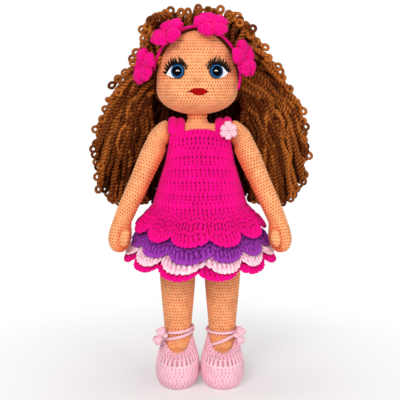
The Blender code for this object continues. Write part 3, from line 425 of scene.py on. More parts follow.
def crochet(surface, around, rows, stitch, relief, pattern=single_stitch, turn=True,
            tall=(0, 0), pull=None):
    """Roll a grid of stitches onto surface(u, v), where u runs round and v along, 0 to 1.

    The rounds from tall[0] up to tall[1] are one round of tall slits. No two stitches are pulled
    equally tight, and pull(row, u) says how open the stitches of a round are.
    """
    across, up = around * STITCH_FACES, rows * STITCH_FACES
    piece = grid(across, up)
    flat = read_points(piece)
    column = np.rint((flat[:, 0] + 0.5) * across).astype(int)
    line = np.rint((flat[:, 1] + 0.5) * up).astype(int)
    finer = across * 3
    fine_u, fine_v = np.meshgrid(np.arange(finer + 1) / finer, np.arange(up + 1) / up)
    points = even_rounds(surface(fine_u, fine_v), across)
    points[:, -1] = points[:, 0]
    along = np.roll(points[:, :-1], -1, 1) - np.roll(points[:, :-1], 1, 1)
    along = np.concatenate([along, along[:, :1]], 1)
    normal = np.cross(along, np.gradient(points, axis=0))
    length = np.linalg.norm(normal, axis=2, keepdims=True)
    normal = normal / np.maximum(length, 1e-12)
    for end, next_row in ((0, 1), (-1, -2)):
        middle = normal[next_row].mean(0)
        weak = length[end] < 1e-9
        normal[end] = np.where(weak, middle / max(np.linalg.norm(middle), 1e-9), normal[end])
    outward = np.sign(np.sum(normal * (points - points.mean(1, keepdims=True))))
    u, v = np.meshgrid(np.arange(across + 1) / across, np.arange(up + 1) / up)
    row = np.minimum(np.arange(up + 1) // STITCH_FACES, rows - 1)
    rounds = points[np.minimum(row * STITCH_FACES + STITCH_FACES // 2, up)]
    steps = np.linalg.norm(np.diff(rounds, axis=1), axis=2).sum(1)
    counts = np.maximum(6, np.rint(steps / stitch)).astype(int)
    across_stitches = u * counts[:, None] + 0.58 * row[:, None]
    stitch_number = np.floor(across_stitches + 0.5) % counts[:, None]
    chance = (np.sin(stitch_number * 12.9898 + row[:, None] * 78.233) * 43758.5453) % 1
    strength = (1 - 0.30 * chance) * (pull(row, u) if pull else 1)
    hollow = pattern(across_stitches % 1, v * rows - row[:, None], strength)
    first, last = tall
    if last > first:
        slits = round(counts[(first + last) * STITCH_FACES // 2] * SLIT_SHARE)
        chosen = (row >= first) & (row < last)
        rise = (v * rows - first) / (last - first)
        hollow[chosen] = slit_stitch((u * slits) % 1, rise)[chosen]
    weight = np.minimum(1, steps[:, None] / (8 * stitch))
    points = points + normal * outward * (relief * (hollow - 0.6) * weight)[..., None]
    write_points(piece, points[line, column])
    mark(piece, "hollow", hollow[line, column])
    face_row = np.repeat(np.arange(len(piece.data.polygons)) // across, 4)
    stitches = counts[np.minimum(face_row, up)]
    scale_uv(piece, np.stack([stitches, np.full(len(stitches), rows)], -1))
    edit(piece, close_seam, *[turn_over] * (outward < 0), *[face_out] * turn)
    return piece


# %% [markdown]
# ## Forms from rings
# Arms and legs are described as their patterns are: by rings down their length, each with a middle,
# two half widths and a direction. Between the rings the form is filled with a smooth curve through
# them, so that a few rings give a soft limb without corners.

# %% Smooth form through rings


def rounded(angle, wide, deep, power):
    """A point of a round of two half widths; power 2 is an ellipse, and more is squarer."""
    c, s = np.cos(angle), np.sin(angle)
    return (
        wide * np.sign(c) * np.abs(c) ** (2 / power),
        deep * np.sign(s) * np.abs(s) ** (2 / power))


def through(places, values, where):
    """A smooth curve through values at places, read at where."""
    slopes = np.gradient(values, places, axis=0)
    i = np.clip(np.searchsorted(places, where, side="right") - 1, 0, len(places) - 2)
    width = places[i + 1] - places[i]
    t = (where - places[i]) / width
    shape = t.shape + (1,) * (values.ndim - 1)
    t, width = t.reshape(shape), width.reshape(shape)
    h0 = (1 + 2 * t) * (1 - t) ** 2
    h1 = t * (1 - t) ** 2 * width
    h2 = t * t * (3 - 2 * t)
    h3 = t * t * (t - 1) * width
    return h0 * values[i] + h1 * slopes[i] + h2 * values[i + 1] + h3 * slopes[i + 1]


def ring_form(rings, start_angle=0):
    """A surface through rings of (middle, across, along, half across, half along, power)."""
    middle, across, along = (np.array([tuple(r[k]) for r in rings], float) for k in range(3))
    wide, deep, power = (np.array([r[k] for r in rings], float) for k in (3, 4, 5))
    lines = [middle + side * deep[:, None] * along for side in (-1, 1)]
    lines.append(middle + across * wide[:, None])
    reach = np.max([np.linalg.norm(np.diff(line, axis=0), axis=1) for line in lines], axis=0)
    places = np.concatenate([[0], np.cumsum(np.maximum(reach, 1e-6))])

    def surface(u, v):
        where = v[:, 0] * places[-1]
        c, p, q = (through(places, k, where)[:, None] for k in (middle, across, along))
        w, d = (np.maximum(0, through(places, k, where))[:, None] for k in (wide, deep))
        w[np.isin(where, places[wide == 0])] = 0
        d[np.isin(where, places[deep == 0])] = 0
        n = np.interp(where, places, power)[:, None]
        x, y = rounded(2 * np.pi * u + start_angle, w, d, n)
        return c + p * x[..., None] + q * y[..., None]

    return surface, places[-1]


# %% [markdown]
# ## The head
# The head is one stuffed skin, worked in rounds from the neck to the crown. Its outline is the CAD
# egg. Two soft dents hold the eyes, and a small bump is the nose. Each point carries a number that
# warms the yarn there: partly the blush the maker brushes onto the cheeks, and partly painted shade
# towards the sides of the face and under the chin.

# %% Head skin


nose_z, nose_wide, nose_tall = 0.3085, 0.0032, 0.0046
eye_spread, eye_z = 0.0178, 0.3152


def head_form():
    rows = 260
    angle = np.pi * (1 - np.arange(rows + 1) / rows)
    upper = angle <= np.pi / 2
    power = np.where(upper, brow_power, chin_power)
    reach = np.where(upper, top_z, 2 * cheek_z - chin_z) - cheek_z
    radius = half_width * np.abs(np.sin(angle)) ** (2 / power)
    height = cheek_z + reach * np.sign(np.cos(angle)) * np.abs(np.cos(angle)) ** (2 / power)
    radius[[0, -1]] = 0
    places = np.concatenate([[0], np.cumsum(np.hypot(np.diff(radius), np.diff(height)))])

    def surface(u, v):
        r = np.interp(v * places[-1], places, radius)
        z = np.interp(v * places[-1], places, height)
        angle = 2 * np.pi * u + np.pi / 2
        x, y = r * np.cos(angle), depth_share * r * np.sin(angle)
        front = np.clip(-y / half_width, 0, 1)
        nose = nose_tall * np.exp(-((x / nose_wide) ** 2 + ((z - nose_z) / nose_wide) ** 2))
        dent = sum(
            np.exp(-(((x - s * 0.0182) / 0.0080) ** 2 + ((z - eye_z) / 0.0070) ** 2)) for s in (-1,
                1))
        return np.stack([head_x + x, y - front * (nose - 0.0012 * dent), z], -1)

    return surface, places[-1]


stitch = 0.0031
form, length = head_form()
head = crochet(form, round(math.tau * half_width / stitch), round(length / stitch), stitch, 0.0009)
# Painted shade towards the sides of the face and under the chin, mixed with the blush on the
# cheeks.
spots = read_points(head)
aside = np.abs(spots[:, 0] - head_x) / half_width
low = np.clip((0.296 - spots[:, 2]) / 0.022, 0, 1)
temples = np.interp(spots[:, 2], [0.290, 0.318], [0.40, 1.0])
mark(head, "blush_and_shade", np.clip(temples * np.clip(aside - 0.56, 0, 1) ** 1.3 + 0.20 * low ** 1.5, 0, 1))
finish_piece(head, "crocheted_head", skin_yarn, "head", "skin_yarn", "head_skin", "nose")

# %% [markdown]
# ## Arms
# Each arm is a tube that starts flat at the shoulder, where it turns on its thread, and ends in a
# mitten hand with its own small thumb. The rings follow the ones in the CAD source.

# %% Arms and thumbs
arm_root_x, pivot_y, pivot_z, plane_x = 0.0380, -0.0045, 0.2560, 0.0303
arm_length, hand_length = 0.0955, 0.0315


def arm_way(out, forward, sign):
    wide, ahead = math.radians(out), math.radians(forward)
    down = math.cos(wide)
    return Vector((sign * math.sin(wide), -down * math.sin(ahead), -down * math.cos(ahead)))


def arm_rings(sign):
    down, hand = arm_way(23.8, 11.5, sign), arm_way(8.0, 9.0, sign)
    side = X * sign
    front = down.cross(side).normalized()
    root = Vector((sign * arm_root_x, pivot_y, pivot_z))
    flat = Vector((sign * plane_x, pivot_y, pivot_z))
    wrist = root + down * arm_length
    half_turn = (side + down).normalized()
    places = [
        (flat, side, 0, 0),
        (flat + side * 0.0002, side, 0.0088, 0.0088),
        (flat + side * 0.0016, side, 0.01070, 0.01070),
        (root + down * arm_length * 0.058, half_turn, 0.01075, 0.01075),
        (root + down * arm_length * 0.163, down, 0.01080, 0.01075),
        (root + down * arm_length * 0.575, down, 0.01000, 0.01060),
        (wrist - down * 0.006, down, 0.0091, 0.0093),
        (wrist + hand * 0.002, hand, 0.0092, 0.0088),
        (wrist + hand * hand_length * 0.38, hand, 0.0110, 0.0094),
        (wrist + hand * hand_length * 0.70, hand, 0.0106, 0.0090),
        (wrist + hand * hand_length * 0.90, hand, 0.0074, 0.0064),
        (wrist + hand * hand_length * 0.985, hand, 0.0036, 0.0030),
        (wrist + hand * hand_length, hand, 0, 0),
    ]
    rings = []
    for centre, normal, wide, deep in places:
        up = front.cross(normal).normalized()
        rings.append((centre, up, normal.cross(up), wide, deep, 2))
    return rings, hand


for side, sign in SIDES.items():
    rings, hand = arm_rings(sign)
    form, length = ring_form(rings, math.pi / 2)
    arm = crochet(form, 22, round(length / stitch), stitch, 0.0009)
    centre = (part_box(f"thumb_{side}")[0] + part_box(f"thumb_{side}")[1]) / 2
    centre += Vector((-0.0032 * sign, 0, -0.0030))
    spots = read_points(arm)
    # The inner side of the arm, towards the dress, is warmed as painted shade and a painted warm
    # reflection of the dress. A ring round the thumb is painted shade in its groove.
    line_x = arm_root_x + 0.44 * (pivot_z - spots[:, 2])
    inner = np.clip(0.35 - (spots[:, 0] * sign - line_x) / 0.014, 0, 1)
    beside = np.hypot((spots[:, 0] - centre.x) / 0.0048, (spots[:, 2] - centre.z) / 0.0088)
    outer = np.clip(0.4 + (spots[:, 0] - centre.x) * sign / 0.006, 0, 1)
    groove = 0.36 * outer * np.exp(-((beside - 1.1) / 0.26) ** 2) * (spots[:, 1] < centre.y + 0.012)
    mark(arm, "blush_and_shade", np.clip(0.70 * inner ** 2.4 + groove, 0, 1))
    finish_piece(arm, f"crocheted_arm_{side}", skin_yarn, f"{side}_arm", "skin_yarn", f"arm_{side}")
    ahead = hand.cross(X).normalized()
    rings = [(centre + hand * d, X, ahead, w, w * 0.85, 2) for d, w in (
        (-0.0080, 0), (-0.0074, 0.0028), (-0.0040, 0.0042), (0.0010, 0.0046), (0.0052, 0.0038),
        (0.0078, 0.0018), (0.0086, 0))]
    form, _ = ring_form(rings)
    thumb = crochet(form, 8, 6, stitch, 0.0005)
    mark(thumb, "blush_and_shade", 0)
    finish_piece(thumb, f"crocheted_thumb_{side}", skin_yarn, f"{side}_arm", "skin_yarn",
        f"thumb_{side}")

# %% [markdown]
# ## Legs
# A leg is a stuffed tube from the dome at the hip to the ankle, then round the heel and along the
# foot inside the shoe. Only the part between the ruffles and the shoe shows at rest, and more of it
# when the leg swings.

# %% Legs
leg_x, hip_z, thigh, ankle, ankle_z = 0.0228, 0.1522, 0.0185, 0.0134, 0.0500
foot_length, foot_height, foot_wide = 0.0360, 0.0360, 0.0186


def leg_rings(sign):
    x = sign * leg_x
    rings = [(Vector((x, 0, hip_z + thigh)), X, Y, 0, 0, 2)]
    for angle in (72, 50, 25, 0):
        lean = math.radians(angle)
        radius = thigh * math.cos(lean)
        rings.append((Vector((x, 0, hip_z + thigh * math.sin(lean))), X, Y, radius, radius, 2))
    for drop, wide in ((0.335, 1.0), (0.655, 0.875), (0.88, 0.765)):
        height = hip_z - (hip_z - ankle_z) * drop
        rings.append((Vector((x, 0, height)), X, Y, thigh * wide, thigh * wide, 2))
    rings.append((Vector((x, 0, ankle_z)), X, Y, ankle, ankle, 2))
    for ahead, rise, tilt, wide, deep in (
            (0.03, 1.00, 15, 0.75, 0.405), (-0.04, 0.61, 40, 0.93, 0.653),
            (0.22, 0.514, 62, 1.00, 0.548), (0.47, 0.458, 84, 0.98, 0.440),
            (0.66, 0.389, 88, 0.90, 0.330), (0.84, 0.333, 90, 0.66, 0.208)):
        lean = math.radians(tilt)
        centre = Vector((x, -foot_length * ahead, foot_height * rise))
        back = Vector((0, math.cos(lean), -math.sin(lean)))
        rings.append((centre, X, back, foot_wide * wide, foot_length * deep, 2))
    for ahead, wide, deep in ((0.985, foot_wide * 0.36, 0.0040), (0.995, 0, 0)):
        rings.append((Vector((x, -foot_length * ahead, foot_height * 0.32)), X, -Z, wide, deep, 2))
    return rings


for side, sign in SIDES.items():
    form, length = ring_form(leg_rings(sign), math.pi / 2)
    leg = crochet(form, 36, round(length / stitch), 0.0032, 0.0009)
    mark(leg, "blush_and_shade", 0.04)
    finish_piece(leg, f"crocheted_leg_{side}", skin_yarn, f"{side}_leg", "skin_yarn", f"leg_{side}")

# %% [markdown]
# ## Torso and neck
# Only the shoulders and the short neck show above the dress. The neck goes up into the head's
# underside and stiffens round its peg.

# %% Torso
torso_rows = [
    (0.000, 0.0350, 0.0200), (0.030, 0.0395, 0.0240), (0.150, 0.0390, 0.0260),
    (0.380, 0.0346, 0.0240),
    (0.600, 0.0310, 0.0205), (0.760, 0.0284, 0.0175), (0.880, 0.0300, 0.0162),
    (0.955, 0.0280, 0.0126),
    (0.988, 0.0180, 0.0106), (1.000, 0.0115, 0.0102)]
torso_low, shoulder_z = 0.1710, 0.2655


def torso_half(height):
    """Half the torso's width and depth at a height."""
    shares, wides, deeps = zip(*torso_rows)
    heights = [torso_low + (shoulder_z - torso_low) * share for share in shares]
    return np.interp(height, heights, wides), np.interp(height, heights, deeps)


rings = [(Vector((0, 0, torso_low)), X, Y, 0, 0, 2.8)]
for share, wide, deep in torso_rows:
    shift = head_x * max(0, share - 0.955) / 0.045
    power = 2.8 if share < 0.97 else 2
    rings.append((Vector((shift, 0, torso_low + (shoulder_z - torso_low) * share)), X, Y, wide,
        deep, power))
for height in (0.2679, 0.2790):
    rings.append((Vector((head_x, 0, height)), X, Y, 0.0100, 0.0100, 2))
rings.append((Vector((head_x, 0, 0.2791)), X, Y, 0, 0, 2))
form, length = ring_form(rings, math.pi / 2)
torso = crochet(form, 46, round(length / 0.0032), 0.0032, 0.0008)
spots = read_points(torso)
# The top of the neck, under the head, is warmed as painted shade.
mark(torso, "blush_and_shade", 0.75 * np.clip((spots[:, 2] - 0.268) / 0.008, 0, 1))
finish_piece(torso, "crocheted_torso", skin_yarn, "trunk", "skin_yarn", "torso_skin")

# %% [markdown]
# ## The dress body
# The dress is a tube of fabric in taller stitches, in a repeat of four rounds: two that are a
# little open, one that is wide open and one that is tight. Their holes show as dark dots. It fits
# the chest, widens into the skirt below the waist, and is stretched over the torso.

# %% Dress body
skirt_z, flare_z, waist_z, neckline_z = 0.1400, 0.1870, 0.2260, 0.2420
fabric = 0.0034
front_rise, front_drop = 0.0180, 0.0100


def over_torso(height):
    """Half the width and depth of the fabric over the torso."""
    return tuple(half + fabric for half in torso_half(height))


def skirt_half(height):
    """Half the dress's width and depth at a height."""
    if height >= waist_z:
        return over_torso(height)
    wide, deep = over_torso(waist_z)
    heights = [skirt_z, flare_z, waist_z]
    return (
        np.interp(height, heights, [0.0560, 0.0465, wide]),
        np.interp(height, heights, [0.0490, 0.0385, deep]))


def skirt_drop(height):
    """How far the skirt hangs lower in front and behind than at its sides."""
    share = (waist_z - height) / (waist_z - skirt_z)
    return front_drop * min(1, max(0, share * 1.5 - 0.25))


def hem_power(height):
    """How square the dress is: as square as the chest above, nearly round at the hem."""
    return 2.8 - 0.7 * min(1, max(0, (neckline_z - height) / (neckline_z - skirt_z)))


def dress_form(u, v):
    """From the hem up to the neckline: low at the armholes, high at the front."""
    angle = 2 * np.pi * u + np.pi / 2
    c, s = np.cos(angle[0]), np.sin(angle[0])
    points = np.empty(u.shape + (3,))
    for i, share in enumerate(v[:, 0]):
        side_z = skirt_z + (neckline_z - skirt_z) * share
        if side_z >= waist_z:
            rise = front_rise * np.interp(side_z, [waist_z, 0.2380, neckline_z], [0.22, 0.72, 1.0])
            height = side_z + rise * s ** 2
            at_strap = np.exp(-((np.abs(c) - 0.70) / 0.20) ** 4)
            height = height + 0.0090 * at_strap * np.interp(side_z, [0.2340, neckline_z], [0, 1])
            wide, deep = over_torso(height)
        else:
            wide, deep = skirt_half(side_z)
            lift = front_rise * 0.22 * max(0, (side_z - flare_z) / (waist_z - flare_z))
            height = side_z + (lift - skirt_drop(side_z)) * s ** 2
        points[i] = np.stack([*rounded(angle[0], wide, deep, hem_power(side_z)), height], -1)
    return points


def dress_pull(row, u):
    """A repeat of four rounds, open in front and behind and tight at the sides."""
    repeat = np.array([0.95, 1.00, 1.30, 0.70])[row % 4][:, None]
    return repeat * (0.30 + 0.70 * np.abs(np.cos(math.tau * u)) ** 1.5)


# The dress's holes take the yarn's deep tone as painted shade, so they show as dark dots.
dress = crochet(
    dress_form, 72, 40, 0.0042, 0.0011, pattern=holed_stitch, turn=False, pull=dress_pull)
wall(dress, 0.0016)
finish_piece(dress, "crocheted_dress", pink_yarn, "trunk", "hot_pink_yarn", "dress")

# %% [markdown]
# ## Ruffles
# Each ruffle is a row of fans: posts of yarn spread from one stitch out to a scalloped hem, whose
# edge is a line of small knots. The wave that gathers it is in the form, and the posts, their
# twist and the knots are lifted on it. The four ruffles are separate pieces of cloth, gathered onto
# the skirt.

# %% Ruffle maker
FANS, FAN_POSTS, POST_FACES = 12, 9, 8
ROUNDS, RUFFLE_LINES = 5.5, 27


def ruffle(name, attach, hem, hem_wide, hem_deep, phase, material, slot_name, seed):
    piece = grid(FANS * FAN_POSTS * POST_FACES, RUFFLE_LINES)
    flat = read_points(piece)
    u, v = flat[:, 0] + 0.5, 0.5 - flat[:, 1]
    u = np.where(u > 1 - 1e-6, 0, u)
    angle = math.tau * u
    c, s = np.cos(angle), np.sin(angle)
    chance = random.Random(seed)
    drift = sum(
        chance.uniform(-1, 1) * np.sin(k * angle + chance.uniform(0, math.tau)) for k in (2, 3, 5))
    fan = FANS * u + phase + 0.09 * drift
    number = np.floor(fan).astype(int) % FANS
    local = 2 * (fan % 1) - 1
    sizes = np.array([chance.uniform(0.75, 1.25) for _ in range(FANS)])[number]
    leans = np.array([chance.uniform(-0.25, 0.25) for _ in range(FANS)])[number]

    # Where the yarn stands up: posts, rounds of knobs, and gaps between the posts.
    # The gaps take the yarn's deep tone as painted shade, and the knobs its light tone as painted
    # light.
    rounds = v * ROUNDS + 0.22 * np.sin(FANS * 3 * angle + number)
    half = 0.5 * (np.floor(rounds) % 2)
    posts = local * FAN_POSTS / 2 + 0.22 * np.sin(9 * v + number)
    post = np.abs(np.cos(math.pi * posts)) ** 0.75
    knob = np.abs(np.cos(math.pi * (posts + half))) * np.sin(math.pi * (rounds % 1)) ** 0.8
    gaps = bell(v, 0.45, 0.25) * (1 - post) ** 1.5
    hatch = np.cos(math.tau * (posts * 2 + rounds * 1.5))
    knot = np.clip((v - 0.84) / 0.10, 0, 1)
    round_end = np.sqrt(np.clip(1 - ((v - 0.93) / 0.085) ** 2, 0, 1))
    hollow = np.clip(0.28 * post + 0.92 * knob - 0.80 * gaps, 0, 1)
    hollow = np.maximum(hollow, knot * (0.30 + 0.70 * post))

    # The gathered form: it flares to the hem, waves with the fans and hangs lower in front
    top_wide, top_deep = skirt_half(attach)
    flare = v ** 1.20
    wide = top_wide + 0.0008 + (hem_wide - 0.0038 - top_wide) * flare
    deep = top_deep + 0.0008 + (hem_deep - 0.0038 - top_deep) * flare
    crest = 1 - 1.9 * np.abs(local) ** 3 + leans * np.sin(math.pi * local)
    wave = 0.0034 * v ** 0.9 * crest * sizes * (1 + 0.15 * drift)
    out = wave + 0.0024 * (hollow - 0.55) * np.clip(v * 5, 0, 1) + 0.0014 * round_end * post
    x, y = rounded(angle, wide + out, deep + out, hem_power(attach))
    drop = skirt_drop(attach) + (front_drop - skirt_drop(attach)) * v
    scallop = 0.0072 * v ** 1.4 * (np.abs(local) ** 2.4 - 0.30) * sizes
    scallop = scallop + (0.0022 + 0.0026 * c ** 2) * v
    edge = 0.0032 * knot * post ** 0.55
    z = attach + (hem - attach) * v - drop * s ** 2 + scallop - edge
    write_points(piece, np.stack([x, y, z], -1))
    mark(piece, "hollow", np.clip(hollow + 0.22 * hatch, 0, 1))
    scale_uv(piece, (FANS * FAN_POSTS, 8))
    edit(piece, close_seam)
    face = piece.data.polygons[len(piece.data.polygons) // 2]
    if face.normal.dot(Vector((face.center.x, face.center.y, 0))) < 0:
        edit(piece, turn_over)
    wall(piece, 0.0020)
    finish_piece(piece, name, material, "trunk", slot_name, name.replace("crocheted_", ""))
    around = math.tau * math.hypot(hem_wide, hem_deep) / math.sqrt(2)
    print(f"  hem {around * 1000:.0f} mm round")
    return piece


# Where each ruffle is sewn on, the height, half width and half depth of its hem, and its fans'
# phase
ruffles = [
    ("crocheted_ruffle_upper", 0.1840, 0.1625, 0.0650, 0.0580, 0.75, pink_yarn, "hot_pink_yarn"),
    ("crocheted_ruffle_purple", 0.1720, 0.1470, 0.0690, 0.0610, 0.85, purple_yarn, "purple_yarn"),
    ("crocheted_ruffle_pale", 0.1610, 0.1380, 0.0735, 0.0625, 0.95, pale_yarn, "pale_pink_yarn"),
    ("crocheted_ruffle_lower", 0.1520, 0.1305, 0.0750, 0.0630, 0.05, pink_yarn, "hot_pink_yarn"),
]
for number, settings in enumerate(ruffles):
    piece = ruffle(*settings, number)

# %% [markdown]
# ## Tubes of yarn
# Hair, ties, lashes and the headband are all lengths of yarn. A tube is swept along a line of
# points. A twisted pair is made from one tube whose section has two lobes that turn along it, which
# costs half the faces of two separate strands and looks the same from a hand's breadth away.

# %% Tube maker


class Tubes:
    """Collects many tubes and makes one mesh from them."""

    def __init__(self):
        self.points, self.faces, self.hollow, self.uv = [], [], [], []
        self.count = 0

    def add(self, path, radius, sides=8, lobes=0, pitch=0.0072, phase=0.0, closed=False, depth=0.62,
            shade=1.0):
        """path is (n, 3); radius one number or n; lobes 2 makes a twisted pair.

        A shade below 1 paints the whole tube darker, as painted shade.
        """
        path = np.asarray(path, float)
        n = len(path)
        radius = np.broadcast_to(np.asarray(radius, float), (n,))
        if closed:
            tangent = np.roll(path, -1, 0) - np.roll(path, 1, 0)
        else:
            tangent = np.gradient(path, axis=0)
        tangent /= np.linalg.norm(tangent, axis=1, keepdims=True)
        side = np.empty((n, 3))
        start = np.cross(tangent[0], (0, 0, 1) if abs(tangent[0][2]) < 0.9 else (0, 1, 0))
        side[0] = start / np.linalg.norm(start)
        for i in range(1, n):
            moved = side[i - 1] - tangent[i] * side[i - 1].dot(tangent[i])
            side[i] = moved / np.linalg.norm(moved)
        up = np.cross(tangent, side)
        run = np.concatenate([[0], np.cumsum(np.linalg.norm(np.diff(path, axis=0), axis=1))])
        angle = math.tau * np.arange(sides) / sides
        swell = np.ones((n, sides))
        if lobes:
            turned = angle[None, :] - math.tau * run[:, None] / pitch - phase
            swell = (1 - depth) + depth * np.abs(np.cos(turned * lobes / 2))
        reach = (radius[:, None] * swell)[..., None]
        ring = side[:, None] * np.cos(angle)[None, :, None] + up[:, None] * np.sin(angle)[None, :,
            None]
        points = path[:, None] + ring * reach
        index = self.count + np.arange(n * sides).reshape(n, sides)
        nexts = np.roll(index, -1, 1)
        last = n if closed else n - 1
        high, high_next = np.roll(index, -1, 0), np.roll(nexts, -1, 0)
        quads = np.stack([index[:last], nexts[:last], high_next[:last], high[:last]],
            -1).reshape(-1, 4)
        self.faces += quads.tolist()
        if not closed:
            self.faces += [index[0][::-1].tolist(), index[-1].tolist()]
        self.points.append(points.reshape(-1, 3))
        # The grooves of a twisted pair take the deep tone, as painted shade.
        hollow = 0.34 + 0.66 * (swell - (1 - depth)) / depth if lobes else np.full((n, sides), 0.8)
        self.hollow.append((hollow * shade).ravel())
        self.count += n * sides

    def make(self):
        mesh = bpy.data.meshes.new("tubes")
        mesh.from_pydata(np.concatenate(self.points).tolist(), [], self.faces)
        piece = bpy.data.objects.new("tubes", mesh)
        bpy.context.scene.collection.objects.link(piece)
        mark(piece, "hollow", np.concatenate(self.hollow))
        mesh.uv_layers.new(name="UVMap")
        return piece


def bezier(points, count):
    """Points along a cubic from four control points."""
    p = np.asarray([tuple(q) for q in points], float)
    t = np.linspace(0, 1, count)[:, None]
    return (
        (1 - t) ** 3 * p[0] + 3 * t * (1 - t) ** 2 * p[1] + 3 * t * t * (1 - t) * p[2]
        + t ** 3 * p[3])


# %% [markdown]
# ## Hair
# The hair is brown yarn, doubled and twisted into locks, each of which ends in the open loop where
# the yarn turns back. The locks are knotted into a crocheted cap, which shows as a plain band
# beside the face. They fan out from the cap: short and upright over the crown, and in long falls
# beside and behind the shoulders. Each lock is a curve from its knot to its loop. The upper part of
# the hair turns with the head and the lower part rests on the shoulders.

# %% Wig cap
band_mid_z = 0.3180


def band_y(height):
    """How far back the headband lies at a height."""
    return np.interp(height, [0.290, 0.299, 0.309, 0.320, 0.3385, 0.348, 0.356], [
        -0.0213, -0.0200, -0.0145, -0.0140, -0.0205, -0.0245, -0.0255])


def band_point(sweep, grow, ahead=0.0):
    """A point of the band's line on the head, sweep degrees from the top, ahead metres in front."""
    angle = math.radians(sweep)
    near, far = 0, 0.097
    for _ in range(40):
        middle = (near + far) / 2
        height = band_mid_z + middle * math.cos(angle)
        y = (band_y(height) - ahead) / depth_share
        inside = height < top_z + grow and math.hypot(middle * math.sin(angle),
            y) < head_radius(height, grow)
        near, far = (middle, far) if inside else (near, middle)
    height = band_mid_z + near * math.cos(angle)
    return (head_x + near * math.sin(angle), band_y(height) - ahead, height)


def on_head(direction, grow):
    """Where rays from the head's middle meet its surface."""
    middle = np.array([head_x, 0, 0.316])
    near, far = np.zeros(direction.shape[:-1]), np.full(direction.shape[:-1], 0.09)
    for _ in range(26):
        half = (near + far) / 2
        spot = direction * half[..., None]
        height = spot[..., 2] + middle[2]
        below = height < cheek_z
        reach = np.where(below, cheek_z - chin_z, top_z - cheek_z) + grow
        power = np.where(below, chin_power, brow_power)
        share = np.clip(np.abs(height - cheek_z) / reach, 0, 1)
        radius = (half_width + grow) * (1 - share ** power) ** (1 / power)
        inside = (share < 1) & (np.hypot(spot[..., 0], spot[..., 1] / depth_share) < radius)
        near, far = np.where(inside, half, near), np.where(inside, far, half)
    return middle + direction * near[..., None]


cap_columns, cap_lines = 176, 44
rim_sweeps = np.linspace(-128, 128, cap_columns + 1)
rim_ahead = np.interp(np.abs(rim_sweeps), [0, 25, 45, 84, 112, 128],
    [-0.0008, -0.0005, 0.0006, 0.0006, -0.0170, -0.0260])
rim = np.array([band_point(s, 0.0026, a) for s, a in zip(rim_sweeps, rim_ahead)])


def cap_form(u, v):
    """From the hairline back over the head, u along the hairline, v from it to the nape."""
    front = rim[np.rint(u * cap_columns).astype(int)] - (head_x, 0, 0.316)
    front /= np.linalg.norm(front, axis=-1, keepdims=True)
    back = np.array([0, 0.94, -0.35])
    dot = np.clip((front * back).sum(-1), -1, 1)
    wide = np.arccos(dot)[..., None]
    way = (np.sin((1 - v[..., None]) * wide) * front + np.sin(v[...,
        None] * wide) * back) / np.sin(wide)
    return on_head(way, 0.0026)


piece = fresh(bpy.ops.mesh.primitive_grid_add, x_subdivisions=cap_columns, y_subdivisions=cap_lines,
    size=1)
flat = read_points(piece)
u, v = flat[:, 0] + 0.5, (flat[:, 1] + 0.5) * 0.97
points = cap_form(u[:, None], v[:, None])[:, 0]
round_count = v * 34
ridge = bumpy((u * 58 + 0.5 * (np.floor(round_count) % 2)) % 1, round_count % 1)
middle = np.array([head_x, 0, 0.316])
away = points - middle
away /= np.linalg.norm(away, axis=1, keepdims=True)
write_points(piece, points + away * (0.0006 * ridge)[:, None])
mark(piece, "hollow", 0.25 + 0.6 * ridge)
face = piece.data.polygons[0]
if face.normal.dot(face.center - Vector(middle)) < 0:
    edit(piece, turn_over)
wall(piece, 0.0022)
finish_piece(piece, "crocheted_wig_cap", hair_yarn, "head", "hair_yarn", "wig_cap")

# %% Where the locks go
# Half the outline of the hair from the crown down the side to the nape, as (x, z) in millimetres.
outline = np.array([
    (0, 374), (14, 375), (30, 371), (46, 361), (58, 346), (68, 330), (78, 313), (88, 296),
    (96, 279),
    (102, 262), (106, 245), (107, 228), (106, 211), (101, 197), (92, 188), (80, 184), (68, 184),
    (56, 187)]) / 1000
outline_run = np.concatenate([[0], np.cumsum(np.linalg.norm(np.diff(outline, axis=0), axis=1))])


def on_outline(share):
    """The point of the outline at a share of its length, and the way out of it."""
    run = share * outline_run[-1]
    spot = np.array([np.interp(run, outline_run, outline[:, k]) for k in (0, 1)])
    ahead = np.array([np.interp(min(run + 0.004, outline_run[-1]), outline_run,
        outline[:, k]) for k in (0, 1)])
    behind = np.array([np.interp(max(run - 0.004, 0), outline_run, outline[:, k]) for k in (0, 1)])
    way = ahead - behind
    return spot, np.array([-way[1], way[0]]) / np.linalg.norm(way) * -1


def hair_depth(z):
    """The frontmost and backmost Y of the hair at a height."""
    front = np.interp(z, [0.19, 0.27, 0.285, 0.30, 0.33, 0.356, 0.375],
        [0.020, 0.017, 0.013, -0.002, -0.012, -0.019, -0.020])
    back = np.interp(z, [0.18, 0.25, 0.30, 0.33, 0.35, 0.365, 0.375],
        [0.046, 0.050, 0.050, 0.046, 0.038, 0.024, 0.012])
    return front, back


def cap_root(x_share, height, depth):
    """A knot on the cap: depth 0 beside the hairline, 1 at the back."""
    sweep = math.radians(np.interp(depth, [0, 1], [96, 172]))
    radius = head_radius(height, 0.0028)
    return np.array([
        head_x + x_share * radius * math.sin(sweep),
        -depth_share * radius * math.cos(sweep),
        height])


